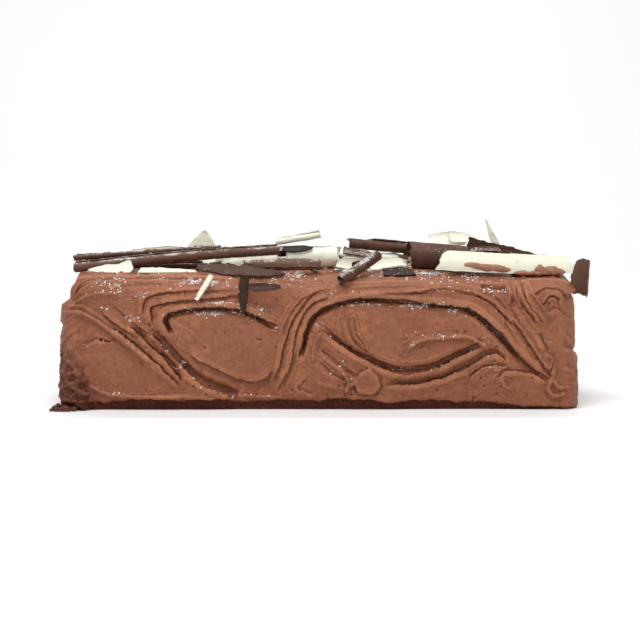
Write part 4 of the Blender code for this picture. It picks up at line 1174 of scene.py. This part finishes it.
def buttercream_material():
    """Milk chocolate buttercream: painted shade in its grooves and painted highlight on its crests, a bare
    sponge foot painted near black as shade under the hem, painted warm reflected light towards the bottom,
    sugar on top.
    """
    look = Surface("buttercream_swirled")
    # Painted highlight and shade: crests are painted a lighter orange and grooves near black, where light
    # would catch the crests and shade would fill the grooves.
    cavity = look.attribute("cavity")
    tone = look.mix(look.ramp(cavity, -0.6, 0.05), (0.430, 0.165, 0.078), (0.276, 0.087, 0.034))
    tone = look.mix(look.ramp(cavity, 0.1, 1.5), tone, (0.050, 0.011, 0.004))
    tone = look.blotch(tone, (0.185, 0.056, 0.024), 34.0, 3.0, 0.32, 0.72, 0.45)
    tone = look.blotch(tone, (0.165, 0.052, 0.024), 120.0, 4.0, 0.40, 0.72, 0.42)
    tone = look.blotch(tone, (0.360, 0.148, 0.078), 420.0, 4.0, 0.45, 0.75, 0.40)
    # Painted reflected light: the lowest 30 mm is darker and redder, standing for warm light thrown up from
    # below.
    low = look.node("ShaderNodeSeparateXYZ")
    look.link(look.place, low.inputs["Vector"])
    tone = look.mix(look.ramp(low.outputs["Z"], 0.030, 0.008, 0.0, 0.8), tone, (0.90, 0.80, 0.72), "MULTIPLY")
    # Darker, blotchy brown over the heap at the front left corner.
    drip_darker = look.ramp(look.attribute("drip"), 0.1, 1.2, 0.0, 0.85)
    crumbly = look.blotch((0.048, 0.011, 0.004), (0.215, 0.070, 0.030), 330.0, 4.0, 0.38, 0.64)
    tone = look.mix(drip_darker, tone, crumbly)
    # Painted shade: the foot below the hem is painted near-black sponge, standing for the dark shadow and
    # reflection under the hem.
    foot_shade = look.blotch((0.040, 0.0045, 0.001), (0.098, 0.015, 0.004), 700.0, 4.0, 0.4, 0.6)
    tone = look.mix(look.attribute("foot"), tone, foot_shade)
    speck = look.maths("MULTIPLY", look.specks(1900.0, 300.0), look.attribute("sugar"))
    powder = look.ramp(speck, 0.72, 1.0, 0.0, 0.9)
    tone = look.mix(powder, tone, (0.80, 0.76, 0.73))
    rough = look.ramp(look.noise(160.0), 0.3, 0.7, 0.36, 0.56)
    rough = look.maths("ADD", rough, look.maths("MULTIPLY", look.attribute("foot"), 0.4))
    streak = look.node("ShaderNodeTexNoise", noise_dimensions="1D")
    streak.inputs["Scale"].default_value = 0.8
    streak.inputs["Detail"].default_value = 3.0
    look.link(look.attribute("stroke"), streak.inputs["W"])
    normal = look.bump(look.maths("MULTIPLY", streak.outputs["Fac"], look.attribute("close")), 0.0008)
    for scale, detail, depth in ((330.0, 3.0, 0.0007), (900.0, 4.0, 0.0006), (2600.0, 2.0, 0.00015)):
        normal = look.bump(look.noise(scale, detail), depth, normal)
    look.shader.inputs["Specular IOR Level"].default_value = 0.38
    return look.finish(tone, rough, normal)


def dark_chocolate_material():
    """Dark chocolate: a grey bloom where its mark is 1, nearly black where it is 0, partly painted shade on
    pieces that lie in shadow.
    """
    look = Surface("dark_chocolate_shaved")
    tone = look.blotch((0.058, 0.024, 0.014), (0.108, 0.050, 0.031), 120.0, 4.0)
    fine = look.noise(700.0, 3.0, (0.2, 1.0, 1.0))
    tone = look.mix(look.ramp(fine, 0.45, 0.8, 0.0, 0.5), tone, (0.140, 0.074, 0.049))
    tone = look.mix(look.ramp(look.attribute("bloom_and_shade"), 0.5, 1.0, 0.0, 0.7), tone, (0.205, 0.118, 0.084))
    # Near black where the mark is low: partly the chocolate's own dark, partly painted shade on pieces that
    # lie in shadow.
    tone = look.mix(look.ramp(look.attribute("bloom_and_shade"), 0.5, 0.0, 0.0, 0.85), tone, (0.016, 0.007, 0.005))
    facing = look.maths("MULTIPLY", look.ramp(look.upward(), -0.1, 0.75), look.attribute("dusted"))
    dust = look.maths("MULTIPLY", look.specks(1700.0, 140.0), facing)
    powder = look.ramp(dust, 1.08, 1.34, 0.0, 0.8)
    tone = look.mix(powder, tone, (0.66, 0.62, 0.59))
    rough = look.ramp(look.noise(260.0), 0.3, 0.7, 0.36, 0.55)
    normal = look.bump(fine, 0.0003)
    normal = look.bump(look.noise(1800.0, 3.0), 0.00012, normal)
    look.shader.inputs["Specular IOR Level"].default_value = 0.16
    return look.finish(tone, rough, normal)


def white_chocolate_material():
    """White chocolate, a little translucent, darker and yellower where its mark is 0: partly a creamier
    colour, partly painted shade that holds back strong light on the piece.
    """
    look = Surface("white_chocolate_shaved")
    tone = look.blotch((0.77, 0.755, 0.61), (0.82, 0.805, 0.68), 90.0)
    fine = look.noise(600.0, 3.0, (0.25, 1.0, 1.0))
    tone = look.mix(look.ramp(fine, 0.5, 0.85, 0.0, 0.35), tone, (0.85, 0.84, 0.74))
    # Darker and yellower where the mark is low: partly a creamier white, partly painted shade holding back
    # strong light on the piece.
    tone = look.mix(look.ramp(look.attribute("bloom_and_shade"), 0.5, 0.0, 0.0, 0.8), tone, (0.66, 0.64, 0.50))
    rough = look.ramp(look.noise(300.0), 0.3, 0.7, 0.34, 0.50)
    normal = look.bump(fine, 0.0003)
    normal = look.bump(look.noise(1500.0, 3.0), 0.0001, normal)
    look.shader.inputs["Subsurface Weight"].default_value = 0.12
    look.shader.inputs["Subsurface Radius"].default_value = (1.0, 0.8, 0.5)
    look.shader.inputs["Subsurface Scale"].default_value = 0.0012
    return look.finish(tone, rough, normal)


def sugar_material():
    """Grains of icing sugar."""
    look = Surface("icing_sugar")
    tone = look.blotch((0.82, 0.80, 0.78), (0.92, 0.91, 0.90), 900.0)
    normal = look.bump(look.noise(3000.0), 0.0001)
    return look.finish(tone, 0.6, normal)


def smear_material():
    """Buttercream wiped thin, paler than the rest."""
    look = Surface("buttercream_smeared")
    tone = look.blotch((0.235, 0.088, 0.043), (0.33, 0.138, 0.074), 300.0, 4.0)
    normal = look.bump(look.noise(800.0, 4.0), 0.0003)
    return look.finish(tone, 0.45, normal)


def crumb_material():
    """Dark sponge crumbs."""
    look = Surface("cake_crumb")
    tone = look.blotch((0.050, 0.012, 0.005), (0.150, 0.045, 0.020), 500.0, 4.0, 0.35, 0.65)
    return look.finish(tone, 0.75, look.bump(look.noise(1200.0, 4.0), 0.0004))


def floor_material():
    """The plain pale floor."""
    look = Surface("studio_floor")
    tone = look.mix(look.noise(3.0), (0.80, 0.80, 0.80), (0.82, 0.82, 0.82))
    return look.finish(tone, 0.8, look.bump(look.noise(200.0), 0.0001))


# ---------------------------------------------------------------- light and camera

# The floor, in metres: half its width, where it begins in front, where its sweep up to the
# wall starts, the sweep's radius and steps, and the wall's height.
FLOOR_HALF = 5.0
FLOOR_FRONT = -3.0
SWEEP_START = 1.2
SWEEP_RADIUS = 0.8
SWEEP_STEPS = 12
WALL_HEIGHT = 4.0


def build_stage():
    """A pale floor that sweeps up behind the cake."""
    profile = [(FLOOR_FRONT, 0.0), (SWEEP_START, 0.0)]
    for step in range(1, SWEEP_STEPS + 1):
        angle = math.radians(90 * step / SWEEP_STEPS)
        along, up = SWEEP_RADIUS * math.sin(angle), SWEEP_RADIUS * math.cos(angle)
        profile.append((SWEEP_START + along, SWEEP_RADIUS - up))
    profile.append((SWEEP_START + SWEEP_RADIUS, WALL_HEIGHT))
    rows = [[(x, y, z) for y, z in profile] for x in (-FLOOR_HALF, FLOOR_HALF)]
    places = np.array(rows).reshape(-1, 3) / MILLIMETRE
    count = len(profile)
    faces = [(index, index + count, index + count + 1, index + 1) for index in range(count - 1)]
    floor = mesh_object("floor", places, faces, floor_material())


def soft_light(name, place, aim, size, energy):
    """A rectangular area light that looks at a place."""
    lamp = bpy.data.lights.new(name, "AREA")
    lamp.shape = "RECTANGLE"
    lamp.size, lamp.size_y = size
    lamp.energy = energy
    item = bpy.data.objects.new(name, lamp)
    item.location = place
    item.rotation_euler = (Vector(aim) - Vector(place)).to_track_quat("-Z", "Y").to_euler()
    bpy.context.scene.collection.objects.link(item)


def build_lights():
    """Soft light from above and in front, and a lamp for the backdrop."""
    world = bpy.data.worlds.new("studio")
    world.use_nodes = True
    background = world.node_tree.nodes["Background"]
    background.inputs["Color"].default_value = (1.0, 1.0, 1.0, 1.0)
    background.inputs["Strength"].default_value = 0.42
    bpy.context.scene.world = world
    middle = (0.0, 0.0, 0.04)
    soft_light("key", (-0.15, -0.55, 1.30), middle, (0.8, 0.5), 15.5)
    soft_light("fill", (0.7, -1.6, 0.6), middle, (0.9, 0.9), 4.6)
    soft_light("backdrop", (0.0, 0.9, 2.2), (0.0, 2.0, 0.6), (3.0, 0.6), 34.0)
    bpy.context.scene.view_settings.view_transform = "Standard"


# The camera stands in front, a little above the top of the cake, and looks slightly down.
CAMERA_PLACE = (-0.0073, -0.8866, 0.1314)
CAMERA_PITCH = 5.36
CAMERA_YAW = 0.516
CAMERA_LENS = 81.2


def build_camera():
    """The camera at the photograph's viewing angle."""
    data = bpy.data.cameras.new("camera")
    data.lens = CAMERA_LENS
    data.sensor_width = 36.0
    camera = bpy.data.objects.new("camera", data)
    camera.location = CAMERA_PLACE
    camera.rotation_euler = (math.radians(90.0 - CAMERA_PITCH), 0.0, -math.radians(CAMERA_YAW))
    bpy.context.scene.collection.objects.link(camera)
    bpy.context.scene.camera = camera


# ---------------------------------------------------------------- everything together

def fix(piece):
    """Ride a piece on the cake's only body."""
    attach(piece, "root")


def main():
    """Every piece, from the shavings that press into the cake to the crumbs beside it."""
    buttercream = buttercream_material()
    chocolates = {"dark": dark_chocolate_material(), "white": white_chocolate_material()}
    sugar = sugar_material()

    toppings = Heap()
    for seed, row in enumerate(SHAVINGS):
        piece, places, sides = build_shaving(row, seed, chocolates)
        fix(piece)
        toppings.add(places, sides)

    cake, surface, faces, fallen = build_cake(buttercream, toppings.places)
    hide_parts("cake_log")
    fix(cake)

    whole = Heap()
    whole.add(surface, faces)
    whole.add(toppings.places, toppings.faces)
    whole_tree = whole.tree()
    first, step = SPLINTER_SEEDS
    for index, row in enumerate(SPLINTERS):
        colour = colour_of(row[0])
        fix(build_splinters(row, whole, first + step * index, chocolates[colour]))

    clumps = fallen ** 2 * np.clip(noise(surface, 2.4, 43) + 0.1, 0.03, 1.0)
    looks_up = unit(point_normals(toppings.places, toppings.faces)[:, 2] - 0.2)
    patchy = looks_up * np.clip(noise(toppings.places, 9.0, 71), 0.05, 1.0)
    for name, places, sides, weights, count, sizes, seed in (
        ("icing_sugar_on_cake", surface, faces, clumps, GRAINS_ON_CAKE, GRAIN_ON_CAKE, 7),
        ("icing_sugar_on_shavings", toppings.places, toppings.faces, patchy,
         GRAINS_ON_CHOCOLATE, GRAIN_ON_CHOCOLATE, 8),
    ):
        fix(build_grains(name, places, sides, weights, count, sizes, seed, sugar))

    smears = smear_material()
    first, step = SMEAR_SEEDS
    for index, row in enumerate(SMEARS):
        name = f"buttercream_smear_{index + 1}"
        fix(build_smear(name, *row, whole_tree, first + step * index, smears))
    fix(build_crumbs("cake_crumbs", CRUMBS, CRUMB_SEED, crumb_material()))

    build_stage()
    build_lights()
    build_camera()


main()
